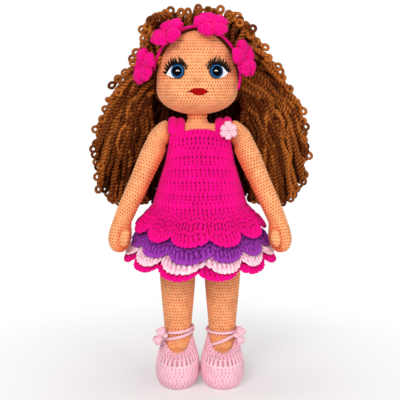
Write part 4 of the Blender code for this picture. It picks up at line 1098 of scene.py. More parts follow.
def lock(tubes, path, rng, ring=True, shade=1.0):
    """One twisted lock along a path, with the loop at its end."""
    steps = np.linalg.norm(np.diff(path, axis=0), axis=1)
    run = np.concatenate([[0], np.cumsum(steps)])
    count = max(6, int(run[-1] / 0.00150))
    where = np.linspace(0, run[-1], count)
    fine = np.stack([np.interp(where, run, path[:, k]) for k in range(3)], -1)
    fade = np.sin(np.pi * np.clip(where / run[-1], 0, 1))[:, None]
    for size, wave in ((0.0026, 0.040), (0.0010, 0.017)):
        turn = rng.uniform(0, math.tau)
        way = np.array([rng.gauss(0, 1), rng.gauss(0, 0.6), rng.gauss(0, 0.5)])
        way /= np.linalg.norm(way)
        fine = fine + fade * size * np.sin(where[:, None] * math.tau / wave + turn) * way
    thick = rng.uniform(0.0023, 0.0028)
    # Each lock's painted shade also varies at random, so no two locks have quite the same tone.
    shade = shade * rng.uniform(0.62, 1.14)
    tubes.add(fine, thick, 8, 2, rng.uniform(0.0070, 0.0080), rng.uniform(0, math.tau), depth=0.34,
        shade=shade)
    if ring:
        end, way = fine[-1], fine[-1] - fine[-3]
        way = way / np.linalg.norm(way)
        face = np.array([rng.gauss(0, 0.35), -1, rng.gauss(0, 0.3)])
        across = np.cross(way, face)
        across /= np.linalg.norm(across)
        centre = end + way * 0.0024
        turns = math.tau * np.arange(12) / 12
        wide, tall = rng.uniform(0.0027, 0.0031), rng.uniform(0.0028, 0.0034)
        loop = centre + np.cos(turns)[:, None] * way * tall + np.sin(turns)[:, None] * across * wide
        tubes.add(loop, 0.00155, 6, closed=True, shade=shade)


# %% Locks beside the face
rng = random.Random(11)
heaps = {f"{part}_{side}": Tubes() for part in ("front", "middle", "back",
    "nape") for side in SIDES}
heaps["crown"] = Tubes()


# The hair is fuller on its left: heights, and the share of the outline's width there
side_widths = {
    1: ([0.235, 0.260, 0.290, 0.308, 0.330], [1.01, 1.04, 1.06, 1.05, 1.00]),
    -1: ([0.255, 0.285, 0.308, 0.322, 0.340, 0.356], [1.00, 0.97, 0.95, 0.86, 0.87, 0.98])}


def grow_lock(share, depth, sign, reach, inward=0.0):
    """A lock that ends at a share of the outline, of the depth and of the way out."""
    (x, z), out = on_outline(share)
    if z > 0.30:
        x, z = x * reach, 0.318 + (z - 0.318) * reach
    else:
        x, z = x - (1 - reach) * 0.100 - inward, z + (1 - reach) * 0.030
    front, back = hair_depth(z)
    y = front + (back - front) * depth
    end = np.array([sign * x + (head_x if z > 0.3 else 0), y, z])
    side = min(1, x / 0.040)
    root_z = np.interp(share, [0, 0.15, 0.4, 0.7, 1.0],
        [0.358, 0.352, 0.342, 0.322, 0.300]) + rng.gauss(0, 0.005)
    root_z = min(0.358, max(0.292, root_z))
    root = cap_root(sign * max(0.05, side), root_z, depth * 0.9)
    if share < 0.2:
        root = np.array([end[0] * 0.55, front + 0.004 + (min(back, 0.020) - front) * depth, 0.352])
    span = np.linalg.norm(end - root)
    rise = np.interp(z, [0.200, 0.290, 0.330], [-0.55, 0.0, 0.50])
    leave = np.array([sign * (0.35 + 0.75 * side), 0.10 * (depth - 0.4), rise])
    leave /= np.linalg.norm(leave)
    arrive = np.array([sign * abs(out[0]), 0, out[1]])
    if z < 0.33:
        slant = np.interp(z, [0.195, 0.235, 0.290, 0.330], [0.25, 0.55, 0.95, 1.60])
        arrive = np.array([sign * (slant * min(1, max(0, x - 0.050) / 0.030) - 0.05), 0, -1.0])
    arrive = arrive / np.linalg.norm(arrive)
    path = bezier([root, root + leave * span * 0.36, end - arrive * span * 0.42, end], 40)
    # Only the end of a lock stands out of the heap, so the loops are what its outline shows
    near_end = np.clip((np.linspace(0, 1, 40) - 0.80) / 0.20, 0, 1)
    room = np.interp(-path[:, 2], -outline[:12, 1], outline[:12, 0]) - 0.0045 + 0.030 * near_end
    out = np.minimum(np.abs(path[:, 0]), room)
    out *= 1 + (np.interp(path[:, 2], *side_widths[sign]) - 1) * np.clip((out - 0.040) / 0.020, 0,
        1)
    path[:, 0] = np.sign(path[:, 0]) * out
    stand = 0.0150 + 0.30 * max(0, y - 0.0150) + rng.uniform(0, 0.006)
    low_front = np.interp(path[:, 2], [0.19, 0.285, 0.30, 0.40], [stand, stand, -0.004, -0.03])
    beside = np.interp(np.abs(path[:, 0]), [0.040, 0.046], [0.031, 0.0])
    low_front = np.where(path[:, 2] < 0.287, np.maximum(low_front, beside), low_front)
    path[:, 1] = np.maximum(path[:, 1], low_front)
    return path


# Zone of the outline from and to, then locks, depth from and to, reach from and to, loops, painted
# shade (lower is darker, for locks deep in the heap), heap
rows_of_locks = [
    (0.12, 0.50, 13, 0.00, 0.12, 0.94, 1.04, 1.0, 1.00, "front"),
    (0.12, 0.50, 11, 0.15, 0.35, 0.84, 0.94, 0.0, 0.36, "middle"),
    (0.12, 0.50, 13, 0.40, 0.60, 0.92, 0.99, 0.5, 0.50, "middle"),
    (0.14, 0.50, 15, 0.72, 0.98, 0.93, 1.01, 1.0, 0.95, "back"),
    (0.50, 0.86, 14, 0.00, 0.18, 0.94, 1.04, 1.0, 1.00, "front"),
    (0.50, 0.88, 15, 0.18, 0.40, 0.93, 1.00, 0.8, 0.40, "middle"),
    (0.50, 0.90, 17, 0.42, 0.65, 0.95, 1.00, 0.6, 0.50, "middle"),
    (0.50, 0.88, 18, 0.72, 0.98, 0.95, 1.02, 1.0, 0.95, "back"),
    (0.86, 1.00, 9, 0.00, 0.20, 0.97, 1.03, 1.0, 0.98, "front"),
    (0.86, 1.00, 9, 0.22, 0.45, 0.95, 1.00, 0.5, 0.50, "middle"),
    (0.86, 1.00, 9, 0.70, 0.98, 0.97, 1.02, 1.0, 0.95, "back"),
]
# Locks deep in the heap, and those beside the neck, are painted darker as painted shade.
for side, sign in SIDES.items():
    for start, stop, count, near, far, low_reach, high_reach, loops, shade, part in rows_of_locks:
        for k in range(count):
            share = start + (stop - start) * (k + rng.uniform(0.1, 0.9)) / count
            path = grow_lock(share, rng.uniform(near, far), sign,
                rng.uniform(low_reach, high_reach))
            lock(heaps[f"{part}_{side}"], path, rng, rng.random() < loops, shade)
    for k in range(9):
        path = grow_lock(rng.uniform(0.72, 0.94), rng.uniform(0.0, 0.2), sign, 0.97,
            rng.uniform(0.004, 0.032))
        lock(heaps[f"front_{side}"], path, rng, False, 0.95)
    for k in range(14):
        height = rng.uniform(0.2980, 0.3320)
        root = cap_root(sign, height, rng.uniform(0.0, 0.16))
        low = np.array([sign * rng.uniform(0.046, 0.088), rng.uniform(0.0175, 0.0240),
            rng.uniform(0.198, 0.222)])
        out = np.array([sign * rng.uniform(0.002, 0.020), 0.004, -0.012])
        path = bezier([root, root + out, low + np.array([-sign * 0.006, -0.002, 0.052]), low], 36)
        floor = np.interp(path[:, 2], [0.19, 0.272, 0.296], [0.0165, 0.0150, -0.006])
        path[:, 1] = np.maximum(path[:, 1], floor + rng.uniform(0, 0.002))
        lock(heaps[f"front_{side}"], path, rng, False, 0.72)
print("locks beside the face done")

# %% Locks over the crown
# Depth of the row, locks, half its width, how far below the outline, share of loops, painted shade
crown_rows = [
    (-0.0170, 13, 0.052, 0.001, 1.0, 1.00), (-0.0120, 14, 0.050, 0.007, 0.3, 0.80),
    (-0.0050, 14, 0.055, 0.002, 0.9, 0.90),
    (0.0020, 13, 0.050, 0.008, 0.0, 0.55), (0.0090, 15, 0.052, 0.001, 0.9, 0.90),
    (0.0190, 14, 0.047, 0.003, 0.9, 0.95),
    (0.0290, 13, 0.040, 0.010, 0.9, 0.95)]
for row_y, count, spread, low, loops, shade in crown_rows:
    for k in range(count):
        x = spread * (2 * (k + rng.uniform(0.1, 0.9)) / count - 1)
        height = np.interp(abs(x), [0, 0.014, 0.030, 0.046, 0.058],
            [0.3755, 0.3755, 0.3705, 0.3600, 0.3470])
        height = height - low - rng.uniform(0, 0.0070)
        root = np.array([x * 0.62 + head_x, row_y * 0.80 + 0.002,
            0.350 - 20 * x * x - 0.3 * max(0, row_y)])
        end = np.array([x + head_x, row_y + rng.gauss(0, 0.002), height])
        lean = np.array([x * 18 + rng.gauss(0, 0.25),
            20 * max(0, row_y - 0.012) + rng.gauss(0, 0.10), 1.0])
        lean /= np.linalg.norm(lean)
        path = bezier([root, root + np.array([x * 0.1, 0, 0.009]), end - lean * 0.011, end], 14)
        lock(heaps["crown"], path, rng, rng.random() < loops, shade)

# %% Locks down the back
# The inner layer down the back and the short locks under it are painted darker, as painted shade.
for layer, count in ((0, 38), (1, 46)):
    for k in range(count):
        spread = 2 * (k + rng.uniform(0.2, 0.8)) / count - 1
        x = spread * (0.098 if layer else 0.074)
        z = (0.186 if layer else 0.196) + 0.012 * abs(spread) + rng.uniform(0, 0.010)
        root_z = 0.354 - 0.034 * abs(spread) - (0.020 if layer == 0 else 0)
        radius = head_radius(root_z, 0.003)
        lean = math.radians(88 * spread)
        root = np.array([head_x + radius * math.sin(lean) * 0.92,
            depth_share * radius * math.cos(lean), root_z])
        end = np.array([x, rng.uniform(0.044, 0.050) if layer else 0.041, z])
        swell = np.array([spread * 0.030, (0.056 if layer else 0.046) - root[1], 0.006])
        path = bezier([root, root + swell, end + np.array([-spread * 0.010, 0.004, 0.070]), end],
            44)
        path[:, 1] = np.minimum(path[:, 1], rng.uniform(0.0485, 0.0525) if layer else 0.045)
        lock(heaps["nape_left" if x > 0 else "nape_right"], path, rng, layer == 1,
            1.0 if layer else 0.55)
for k in range(56):
    x = 0.058 * (2 * (k % 28 + rng.uniform(0.3, 0.7) + 0.5 * (k // 28)) / 28 - 1)
    root = np.array([x * 0.62 + head_x, 0.026 + 0.008 * (k // 28), 0.306])
    end = np.array([x, rng.uniform(0.034, 0.038) + 0.004 * (k // 28), rng.uniform(0.178, 0.190)])
    path = bezier([root, root + np.array([x * 0.5, 0.004, -0.020]), end + np.array([0, 0, 0.050]),
        end], 30)
    path[:, 1] = np.maximum(path[:, 1], 0.0325 + 0.004 * (k // 28))
    lock(heaps["nape_left" if x > 0 else "nape_right"], path, rng, False, 0.45)

hair_nodes = {
    "front_left": "hair_fall_left", "front_right": "hair_fall_right",
    "middle_left": "hair_fall_left",
    "middle_right": "hair_fall_right", "back_left": "hair_fall_left",
    "back_right": "hair_fall_right",
    "nape_left": "hair_fall_back", "nape_right": "hair_fall_back", "crown": "hair_crown"}
for name, tubes in heaps.items():
    piece = tubes.make()
    finish_piece(piece, f"yarn_locks_{name}", hair_yarn, None, "hair_yarn")
    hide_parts(hair_nodes[name])
    if name == "crown":
        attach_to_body(piece, "head")
    else:
        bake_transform(piece)

# %% [markdown]
# ## Headband and flowers
# The headband is one hot pink chain, laid on the cap from cheek to cheek. A crochet chain looks
# like a row of small hearts, and the two-lobed tube with a short pitch gives that. Each flower has
# five puffy petals, worked as short posts of yarn, so each petal is a flattened ball with rows of
# small holes.

# %% Headband
sweeps = np.linspace(-92, 116, 220)
band = Tubes()
band.add([band_point(s, 0.0046) for s in sweeps], 0.00150, 8, 2, 0.0052, 0.4, depth=0.45)
band_piece = band.make()
finish_piece(band_piece, "chain_headband", pink_yarn, "head", "hot_pink_yarn", "headband")

# %% Flower maker


def petal(length, width, height, gauge):
    """One puffy petal along +Y from the origin, with a hole beside each stitch of its gauge."""
    piece = fresh(bpy.ops.mesh.primitive_uv_sphere_add, segments=60, ring_count=36, radius=1)
    p = read_points(piece)
    x, y, z = p[:, 0], p[:, 1], p[:, 2]
    along = (y + 1) / 2
    rows = along * length / gauge
    row = np.floor(rows)
    column = (x * width / 2 / gauge + 0.5 * (row % 2)) % 1
    aside = np.minimum(column, 1 - column)
    hole = np.exp(-(aside / 0.26) ** 2 - ((rows - row - 0.5) / 0.28) ** 2)
    seam = np.exp(-(np.minimum(rows - row, row + 1 - rows) / 0.14) ** 2)
    hollow = np.clip(0.98 - 0.36 * seam - 0.98 * hole, 0, 1)
    taper = 0.40 + 0.60 * np.sin(np.clip(along * 1.30, 0, 1) * math.pi / 2)
    notch = 1 - 0.12 * np.exp(-(x / 0.22) ** 2) * (along > 0.7)
    dome = 0.55 + 0.45 * np.clip(np.sin(along * math.pi), 0, 1) ** 0.6
    lift = 0.22 * gauge * (hollow - 0.6)
    # The sides of each petal are darker, as painted shade between the petals.
    hollow = hollow * (1 - 0.50 * np.abs(x) ** 3)
    reach = np.maximum(np.sqrt(x * x + z * z), 1e-6)
    x = x * taper * width / 2 + lift * x / reach
    z = z * dome * height / 2 + lift * np.sign(z) + height * 0.5
    write_points(piece, np.stack([x, along * length * notch, z], -1))
    mark(piece, "hollow", hollow)
    return piece


def flower(radius, height, place, rng, petals=5, gauge=0.0034):
    """Five petals and a knotted middle, joined into one piece."""
    parts = []
    for k in range(petals):
        size = rng.uniform(0.92, 1.06)
        made = petal(radius * 0.94 * size, radius * 4.7 / petals * size,
            height * rng.uniform(0.90, 1.10), gauge)
        tilt = Matrix.Rotation(math.radians(rng.uniform(-4, 12)), 4, "X")
        lift = Matrix.Translation((0, radius * 0.07, radius * 0.03 * (k % 2)))
        spin = Matrix.Rotation(math.tau * k / petals + rng.gauss(0, 0.03), 4, "Z")
        made.data.transform(spin @ tilt @ lift)
        parts.append(made)
    middle = fresh(
        bpy.ops.mesh.primitive_torus_add, major_radius=radius * 0.17, minor_radius=radius * 0.10,
        major_segments=20, minor_segments=8, location=(0, 0, height * 0.72))
    bpy.ops.object.transform_apply(location=True, rotation=True, scale=True)
    mark(middle, "hollow", 0.55)
    parts.append(middle)
    made = join(parts)
    made.data.transform(place)
    return made


# Each flower's way out of the head, its turn in degrees, and its place beside its solid's middle
flowers = {
    "flower_right_low": ((-0.84, -0.52, 0.12), 10, (-0.0034, 0, -0.0028)),
    "flower_right_high": ((-0.42, -0.62, 0.66), 28, (0.0020, -0.0020, -0.0060)),
    "flower_left_high": ((0.16, -0.60, 0.78), 0, (0.0000, -0.0030, -0.0062)),
    "flower_left_low": ((0.84, -0.50, 0.20), 6, (-0.0002, -0.0020, -0.0034))}
flower_radius, flower_height, flower_sink = 0.0190, 0.0108, 0.0042
rng = random.Random(5)
for node, (way, degrees, beside) in flowers.items():
    low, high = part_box(node)
    way = Vector(way).normalized()
    centre = (low + high) / 2 - way * flower_sink + Vector(beside)
    turn = Matrix.Rotation(math.radians(degrees), 4, "Z")
    place = Matrix.Translation(centre) @ facing(way).to_4x4() @ turn
    piece = flower(flower_radius, flower_height, place, rng)
    finish_piece(piece, f"puffy_{node}", pink_yarn, "head", "hot_pink_yarn", node)

# %% Brooch
low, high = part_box("brooch_flower")
brooch_centre = Vector(((low.x + high.x) / 2, high.y, (low.z + high.z) / 2))
brooch_centre += Vector((0.0010, 0, -0.0010))
brooch_place = Matrix.Translation(brooch_centre) @ facing(-Y).to_4x4()
piece = flower(0.0094, 0.0052, brooch_place, rng, 6, 0.0024)
finish_piece(piece, "pale_brooch_flower", pale_yarn, "trunk", "pale_pink_yarn", "brooch_flower")

# %% [markdown]
# ## Straps
# Each strap is two fat ribs of single crochet side by side, which arch over the shoulder from the
# front of the neckline to the back. From the front their tops look like two round bubbles.

# %% Straps
for side, sign in SIDES.items():
    ribs = []
    for offset in (-0.0038, 0.0038):
        tall_by = 0.0010 if offset * sign > 0 else 0.0
        rings = []
        for sweep in np.linspace(0.15, math.pi - 0.15, 13):
            sink = np.interp(abs(sweep - math.pi / 2), [0.80, 1.42], [1.0, 0.84])
            middle = Vector((
                sign * 0.0232 + offset, -0.0204 * sink * math.cos(sweep),
                0.2506 + (0.0156 + tall_by) * math.sin(sweep)))
            outward = Vector((0, -math.cos(sweep), math.sin(sweep)))
            thick = np.interp(abs(sweep - math.pi / 2), [0, 0.75, 1.25, 1.42],
                [0.0044, 0.0044, 0.0042, 0.0])
            rings.append((middle, X, outward, thick * 1.02, thick * 0.95, 2))
        form, length = ring_form(rings)
        ribs.append(crochet(
            form, 9, round(length / 0.0036), 0.0038, 0.0007, pull=lambda row, u: 0.5))
    piece = join(ribs)
    finish_piece(piece, f"bubble_strap_{side}", pink_yarn, "trunk", "hot_pink_yarn",
        f"strap_{side}")

# %% [markdown]
# ## Shoes
# A shoe is worked from the middle of its sole outwards, up over the toes and in to the opening
# round the ankle. So its grid runs round the ankle one way and from the sole to the opening the
# other way. One round near the opening is worked in tall posts, which leave a row of slits.

# %% Shoes
toe_y, heel_y, shoe_wide = -0.0400, 0.0240, 0.0224


def shoe_form(sign):
    def surface(u, v):
        angle = 2 * np.pi * u[0] + np.pi / 2
        c, s = np.cos(angle), np.sin(angle)
        toe = np.clip(-s, 0, 1)
        mid_y = (toe_y + heel_y) / 2
        rim = np.stack([shoe_wide * c, mid_y + (heel_y - toe_y) / 2 * s, 0 * c], -1)
        base = np.array([0, mid_y, 0])
        opening = np.stack([0.0150 * c, 0.0154 * s - 0.0026 * toe, 0 * c], -1)
        open_z = 0.0490 - 0.0158 * toe ** 1.3
        heights = (0, 0, 0.0016, 0.0062, 0.0150, 0.0240, 0.0315 - 0.0030 * toe,
            0.0400 - 0.0082 * toe, open_z)
        spans = (0.0, 0.72, 0.83, 0.95, 1.0, 0.965)
        rings = [base + (rim - base) * share for share in spans]
        rings += [rings[-1] + (opening - rings[-1]) * share for share in (0.30, 0.68, 1.0)]
        table = np.stack([
            ring + np.stack([0 * c, 0 * c, z + 0 * c], -1) for ring, z in zip(rings, heights)])
        places = np.array([0.0, 0.20, 0.25, 0.31, 0.42, 0.53, 0.66, 0.83, 1.0])
        points = through(places, table, v[:, 0])
        points[..., 2] = np.maximum(points[..., 2], 0)
        return points + (sign * leg_x, 0, 0)

    return surface


def shoe_pull(row, u):
    """Small tight holes below, wider ones in the two rounds above the slits."""
    return np.where(row >= 15, 0.85, 0.70)[:, None]


for side, sign in SIDES.items():
    shoe = crochet(shoe_form(sign), 40, 22, 0.0040, 0.0011, pattern=holed_stitch, turn=False,
        tall=(12, 16), pull=shoe_pull)
    middle = Vector((sign * leg_x, -0.008, 0.02))
    some_faces = list(shoe.data.polygons)[::37]
    votes = sum(1 if f.normal.dot(f.center - middle) > 0 else -1 for f in some_faces)
    if votes < 0:
        edit(shoe, turn_over)
    wall(shoe, 0.0018)
    finish_piece(shoe, f"crocheted_shoe_{side}", shoe_yarn, f"{side}_leg", "shoe_yarn",
        f"shoe_{side}")

# %% [markdown]
# Two turns of chain hold each shoe to its ankle, and end in a bow on the outer side. The two turns
# lie at different slopes, as they cross where the bow pulls them.

# %% Ties and bows
# Each puff of a bow: how far out and up of the knot it starts, its turn in degrees and its size
bow_puffs = {
    "left": ((-0.0006, 0.0004, -34, 0.0108), (-0.0004, -0.0012, -136, 0.0092)),
    "right": ((0.0000, 0.0006, -24, 0.0106), (0.0010, -0.0006, -120, 0.0106))}
tie_slopes = {"left": ((0.0533, 0.5), (0.0450, 24)), "right": ((0.0540, 7.0), (0.0486, 13.5))}
for side, sign in SIDES.items():
    ties = Tubes()
    turns = math.tau * np.arange(72) / 72
    for height, slope in tie_slopes[side]:
        rise = math.tan(math.radians(slope))
        radius = 0.0156
        ring = np.stack([
            sign * leg_x + radius * np.cos(turns),
            radius * np.sin(turns),
            height + radius * np.cos(turns) * rise], -1)
        ties.add(ring, 0.00170, 8, 2, 0.0050, 0, closed=True, depth=0.3)
    piece = ties.make()
    finish_piece(piece, f"chain_tie_{side}", shoe_yarn, f"{side}_leg", "shoe_yarn",
        f"ankle_tie_{side}")
    low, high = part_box(f"bow_{side}")
    knot = (low + high) / 2
    puffs = []
    for x, y, turn, size in bow_puffs[side]:
        puff = petal(size, size * 1.02, size * 0.75, 0.0024)
        place = Matrix.Translation(knot + Vector((sign * x, -0.0010, y)))
        turned = Matrix.Rotation(math.radians(turn * sign), 4, "Z")
        puff.data.transform(place @ facing(-Y).to_4x4() @ turned)
        puffs.append(puff)
    ball = fresh(bpy.ops.mesh.primitive_uv_sphere_add, segments=20, ring_count=12, radius=0.0026)
    ball.data.transform(Matrix.Translation(knot + Vector((-sign * 0.0016, -0.0030, 0.0006))))
    mark(ball, "hollow", 0.9)
    piece = join(puffs + [ball])
    finish_piece(piece, f"chain_bow_{side}", shoe_yarn, f"{side}_leg", "shoe_yarn", f"bow_{side}")

# %% [markdown]
# ## Eyes
# The eyes are safety eyes: a dome of glossy plastic with a black pupil and a blue ring moulded
# behind a clear coat. The dome is a sphere cut in half and flattened, and its faces are shared out
# between two materials by their distance from the middle. The ring is darker at its rim and
# streaked towards the pupil.

# %% Eye plastics


def iris_plastic():
    material, tree, shader, place = new_material("blue_moulded_plastic")
    streak = noise(tree, place, 900, 2)
    reach = calculate(tree, "MULTIPLY_ADD", streak, 0.16, attribute(tree, "hollow"))
    colour = ramp(tree, reach, [
        (0.70, "#04172A"), (0.78, "#0D4C80"), (0.90, "#1565A0"), (0.99, "#0C3F70"),
        (1.0, "#051A30")])
    connect(tree, shader, {"Base Color": colour, "Roughness": 0.35, "Specular IOR Level": 0.12})
    return material


def plain(name, low, high, roughness, scale, specular=0.5):
    """A solid colour with a little uneven tone and a fine grain."""
    material, tree, shader, place = new_material(name)
    grain = noise(tree, place, scale, 3)
    bump = add_node(tree, "ShaderNodeBump", inputs={
        "Height": grain, "Strength": 0.3, "Distance": 0.0002})
    connect(tree, shader, {
        "Base Color": ramp(tree, grain, [(0.35, low), (0.65, high)]),
        "Normal": bump.outputs[0], "Roughness": roughness, "Specular IOR Level": specular})
    return material


iris = iris_plastic()
pupil = plain("black_moulded_plastic", "#020202", "#050505", 0.55, 40, 0.03)
felt = plain("white_wool_felt", "#E9E5EC", "#FFFFFF", 0.95, 1400)
lash_thread = plain("black_lash_thread", "#070302", "#140C08", 0.7, 900, 0.15)
brow_thread = plain("brown_brow_thread", "#7A3A1E", "#A3603A", 0.8, 900)
lip_yarn = plain("red_satin_stitch", "#7A0001", "#B80203", 0.7, 700, 0.06)
# A painted highlight: the white of the small arc on each pupil, where the lamp would reflect.
painted_highlight = plain("white_painted_highlight", "#FFFFFF", "#FFFFFF", 0.3, 40)
print("eye finishes made")

# %% Eyes
eye_radius, eye_dome, pupil_radius = 0.0067, 0.0036, 0.00455
for side, sign in SIDES.items():
    seat = face_point(sign * eye_spread, eye_z)
    out = (face_normal(sign * eye_spread, eye_z) * 0.55 - Y * 0.45).normalized()
    place = Matrix.Translation(seat + out * 0.0016) @ facing(out).to_4x4()
    eye = fresh(bpy.ops.mesh.primitive_uv_sphere_add, segments=48, ring_count=32, radius=1)
    edit(eye, (bpy.ops.mesh.bisect, {"plane_co": (0, 0, -0.35), "plane_no": (0, 0, 1),
        "use_fill": True, "clear_inner": True}))
    p = read_points(eye)
    spread = np.hypot(p[:, 0], p[:, 1])
    mark(eye, "hollow", spread)
    p *= (eye_radius, eye_radius, eye_dome)
    write_points(eye, p)
    finish_piece(eye, f"plastic_eye_{side}", iris, "head", "eye_plastic", f"eye_{side}")
    eye.data.materials.append(pupil)
    for face in eye.data.polygons:
        inner = math.hypot(face.center.x, face.center.y) < pupil_radius and face.center.z > 0
        face.material_index = 1 if inner else 0
    eye.data.transform(place)
    # A painted highlight: a small white arc on the pupil, standing for the lamp's reflection.
    highlight_arc = Tubes()
    slip = -0.0012 if sign > 0 else 0.0009
    arc = [
        place @ Vector((0.0017 * math.cos(t) + slip, 0.0015 * math.sin(t) - 0.0010, 0.00362))
        for t in np.linspace(0.4, 2.7, 12)]
    taper = 0.00050 * np.sin(np.linspace(0.30, 2.84, 12))
    highlight_arc.add([tuple(q) for q in arc], taper, 6)
    finish_piece(highlight_arc.make(), f"eye_painted_highlight_{side}", painted_highlight, "head", "eye_plastic")

# %% [markdown]
# ## Lashes, felt, brows and lips
# These are thin, and follow the curve of the face. Each is drawn flat from the front, as a maker
# cuts it, and then laid on the face: each point keeps its X and Z and takes the face's Y, plus a
# small lift.

# %% Laid on the face


def lay_on_face(piece, lift):
    points = read_points(piece)
    for i, (x, y, z) in enumerate(points):
        on = face_point(x - head_x, z, lift)
        points[i] = (x, on.y + y, z)
    write_points(piece, points)


# Lash tips beside the eye, away from the nose and up, in units of mm (a pixel's worth) from its
# middle
mm = 0.00094
lash_tips = [
    (15.6, 1.2), (14.4, 5.0), (12.4, 8.4), (10.4, 11.2), (7.8, 13.8), (5.2, 13.2),
    (3.2, 15.0), (1.0, 15.8), (-1.4, 13.8), (-3.6, 13.0), (-6.2, 10.4), (-8.8, 7.6)]

for side, sign in SIDES.items():
    middle = head_x + sign * eye_spread
    white = grid(12, 8)
    p = read_points(white)
    along, across = p[:, 0] + 0.5, p[:, 1]
    tip = (12.6, -0.6 if sign > 0 else -2.6)
    edge_x = 3.0 + (tip[0] - 3.0) * along
    high = np.interp(along, [0, 0.35, 0.7, 1], [6.2, 4.6, 1.9, tip[1]])
    low = np.interp(along, [0, 0.35, 0.7, 1], [-6.6, -6.2, -4.4, tip[1] - 0.2])
    edge_z = low + (high - low) * (across + 0.5)
    write_points(white, np.stack([middle + sign * edge_x * mm, np.zeros(len(p)),
        eye_z + edge_z * mm], -1))
    lay_on_face(white, 0.0014)
    edit(white, face_out)
    if white.data.polygons[0].normal.y > 0:
        edit(white, turn_over)
    wall(white, 0.0010, 0)
    finish_piece(white, f"felt_corner_{side}", felt, "head", "white_felt", f"eye_white_{side}")
    lashes = Tubes()
    lash_rng = random.Random(7 + sign)
    lid = np.array([(tip[0] + 0.3, tip[1] - 0.2), (10.4, 1.6), (7.6, 5.0), (4.0, 7.4), (0, 8.1),
        (-4.0, 7.0), (-6.8, 4.2), (-7.8, 1.2)])
    bends = np.linspace(0, 1, len(lid))
    for k, (tip_x, tip_z) in enumerate(lash_tips):
        root = [np.interp((k + 0.5) / len(lash_tips), bends, lid[:, j]) for j in (0, 1)]
        tip_x, tip_z = tip_x + lash_rng.gauss(0, 0.4), tip_z + lash_rng.gauss(0, 0.4)
        path = []
        for t in np.linspace(0, 1, 8):
            curl = 0.9 * math.sin(math.pi * t) * (1 if tip_x > 2 else -1)
            x = (root[0] + (tip_x - root[0]) * t + curl) * mm
            z = (root[1] + (tip_z - root[1]) * t) * mm
            path.append(tuple(face_point(sign * eye_spread + sign * x, eye_z + z,
                0.0016 + 0.0022 * t * (1 - 0.4 * t))))
        weight = np.interp(k, [0, 2, 7, 11], [0.0014, 0.0015, 0.0011, 0.0005])
        lashes.add(path, weight * (1 - np.linspace(0, 1, 8)) ** 0.8 + 0.00008, 6)
    line = []
    for t in np.linspace(0, 1, 34):
        x, z = (np.interp(t, bends, lid[:, j]) * mm for j in (0, 1))
        line.append(tuple(face_point(sign * (eye_spread + x), eye_z + z, 0.0019)))
    weight = np.interp(np.linspace(0, 1, 34), [0, 0.06, 0.5, 0.75, 1],
        [0.0003, 0.0008, 0.0009, 0.0005, 0.00015])
    lashes.add(line, weight, 8)
    finish_piece(lashes.make(), f"eye_lashes_{side}", lash_thread, "head", "lash_thread",
        f"lashes_{side}")
    brow = Tubes()
    line = [
        tuple(face_point(sign * 0.0175 + 0.0044 * t, 0.3438 + 0.0006 * (1 - t * t), 0.0003))
        for t in np.linspace(-1, 1, 12)]
    brow.add(line, 0.00042 * np.sin(np.linspace(0.3, 2.84, 12)), 6, 2, 0.0020)
    finish_piece(brow.make(), f"thread_brow_{side}", brow_thread, "head", "lash_thread",
        f"brow_{side}")

# %% Lips
lips = grid(64, 16)
p = read_points(lips)
along, across = p[:, 0] * 2, p[:, 1] * 2
places = [-1.0, -0.8, -0.55, -0.3, -0.05, 0.2, 0.45, 0.75, 1.0]
upper = np.interp(along, places, [0.02, 0.30, 0.72, 0.98, 0.90, 1.00, 0.92, 0.56, 0.05])
lower = np.interp(along, places, [-0.02, -0.06, -0.30, -0.78, -1.00, -1.02, -0.92, -0.50, -0.03])
z = np.where(across > 0, upper * across, -lower * across) * 0.0034
crown = np.sqrt(np.clip(1 - across ** 2, 0, 1)) * np.clip(upper - lower, 0, 1.6) / 1.6
line = 0.20 * np.exp(-((across - 0.10) / 0.10) ** 2)
stitches = 0.10 * np.abs(np.sin(along * 34)) * crown
bulge = 0.0015 * (crown - line + stitches)
write_points(lips, np.stack([head_x + 0.0008 + along * 0.0100, -bulge, 0.2962 + z], -1))
lay_on_face(lips, 0.0002)
if lips.data.polygons[0].normal.y > 0:
    edit(lips, turn_over)
wall(lips, 0.0007)
finish_piece(lips, "satin_stitch_lips", lip_yarn, "head", "lip_yarn", "lips")

# %% [markdown]
# ## Inside the doll
# The stuffing, the neck peg, the arms' thread, the washers and the insoles are hidden, and their
# CAD solids are the right shape. They keep those solids and get the finish of what they are.

# %% Hidden pieces
fibre_fill = plain("polyester_fibre_fill", "#E2DED6", "#FBFAF6", 0.95, 260)
turned_wood = plain("plain_turned_beech", "#B98552", "#D2A471", 0.6, 500)
moulded_washer = plain("moulded_washer_plastic", "#DEDBD3", "#EFECE6", 0.5, 200)
grey_board = plain("insole_board", "#A38A68", "#BFA683", 0.9, 600)
inside = {
    "stuffing": fibre_fill, "peg": turned_wood, "washer": moulded_washer, "insole": grey_board,
    "thread": pink_yarn}
for name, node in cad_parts.items():
    for word, material in inside.items():
        if word in name:
            node.material_slots[0].material = material
            print(name, "is", material.name)

# %% [markdown]
# ## Floor and light
# The doll stands on a pale floor that runs out into white, as on a studio table. Near the doll the
# floor is a plain white surface that takes its shadow. Further out it turns into pure white for the
# camera, so no edge or horizon shows. A broad lamp above the camera, a weaker one on the right, a
# third overhead and a pale world light the doll evenly.

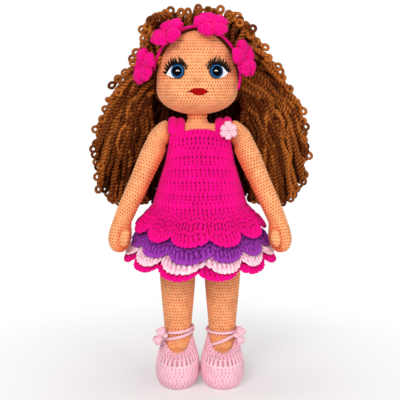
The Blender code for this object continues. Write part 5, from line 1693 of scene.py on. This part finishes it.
# %% Floor
floor = fresh(bpy.ops.mesh.primitive_circle_add, vertices=64, radius=3.0, fill_type="NGON")
floor.name = "pale_floor"
paint, tree, shader, place = new_material("pale_floor_paint")
connect(tree, shader, {
    "Base Color": linear("#F6F4F4"), "Roughness": 0.9, "Specular IOR Level": 0.1})
reach = add_node(tree, "ShaderNodeVectorMath", {"operation": "LENGTH"},
    {0: place.outputs["Object"]})
fade = add_node(tree, "ShaderNodeMapRange", {"interpolation_type": "SMOOTHSTEP"}, {
    "Value": reach.outputs["Value"], "From Min": 0.10, "From Max": 0.34, "To Min": 0.30,
    "To Max": 1.0})
rays = add_node(tree, "ShaderNodeLightPath")
seen = add_node(tree, "ShaderNodeMath", {"operation": "ADD", "use_clamp": True}, {
    0: rays.outputs["Is Camera Ray"], 1: rays.outputs["Is Glossy Ray"]})
amount = add_node(tree, "ShaderNodeMath", {"operation": "MULTIPLY"},
    {0: fade.outputs[0], 1: seen.outputs[0]})
white = add_node(tree, "ShaderNodeEmission", inputs={"Color": (1, 1, 1, 1), "Strength": 1.0})
blend = add_node(tree, "ShaderNodeMixShader", inputs={
    0: amount.outputs[0], 1: shader.outputs[0], 2: white.outputs[0]})
tree.links.new(blend.outputs[0], tree.nodes["Material Output"].inputs["Surface"])
floor.data.materials.append(paint)
floor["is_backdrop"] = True
print("floor ready")

# %% Lamps and world


def lamp(name, place, target, size, power, tint="#FFFFFF"):
    bpy.ops.object.select_all(action="DESELECT")
    bpy.ops.object.light_add(type="AREA", location=place)
    made = bpy.context.object
    made.name = name
    made.data.shape = "DISK"
    made.data.size = size
    made.data.energy = power
    made.data.color = linear(tint)[:3]
    made.rotation_euler = (Vector(target) - Vector(place)).to_track_quat("-Z", "Y").to_euler()
    return made


lamp("key_lamp", (-0.45, -1.45, 1.05), (0, 0, 0.22), 0.9, 17)
lamp("fill_lamp", (1.1, -1.2, 0.55), (0, 0, 0.2), 1.0, 7)
lamp("top_lamp", (0, 0.15, 1.5), (0, 0, 0.2), 1.0, 7)
world = bpy.data.worlds.new("studio_white")
bpy.context.scene.world = world
world.use_nodes = True
tree = world.node_tree
tree.nodes.clear()
rays = add_node(tree, "ShaderNodeLightPath")
seen = add_node(tree, "ShaderNodeMath", {"operation": "ADD", "use_clamp": True}, {
    0: rays.outputs["Is Camera Ray"], 1: rays.outputs["Is Transmission Ray"]})
soft = add_node(tree, "ShaderNodeBackground", inputs={"Color": linear("#F4F2F2"), "Strength": 0.42})
white = add_node(tree, "ShaderNodeBackground", inputs={"Color": (1, 1, 1, 1), "Strength": 1.0})
mixed = add_node(tree, "ShaderNodeMixShader", inputs={
    0: seen.outputs[0], 1: soft.outputs[0], 2: white.outputs[0]})
end = add_node(tree, "ShaderNodeOutputWorld", inputs={0: mixed.outputs[0]})
print("lamps ready")

# %% Measure and finish
low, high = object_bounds()
print("visual box", [round(c, 4) for c in (*low, *high)])
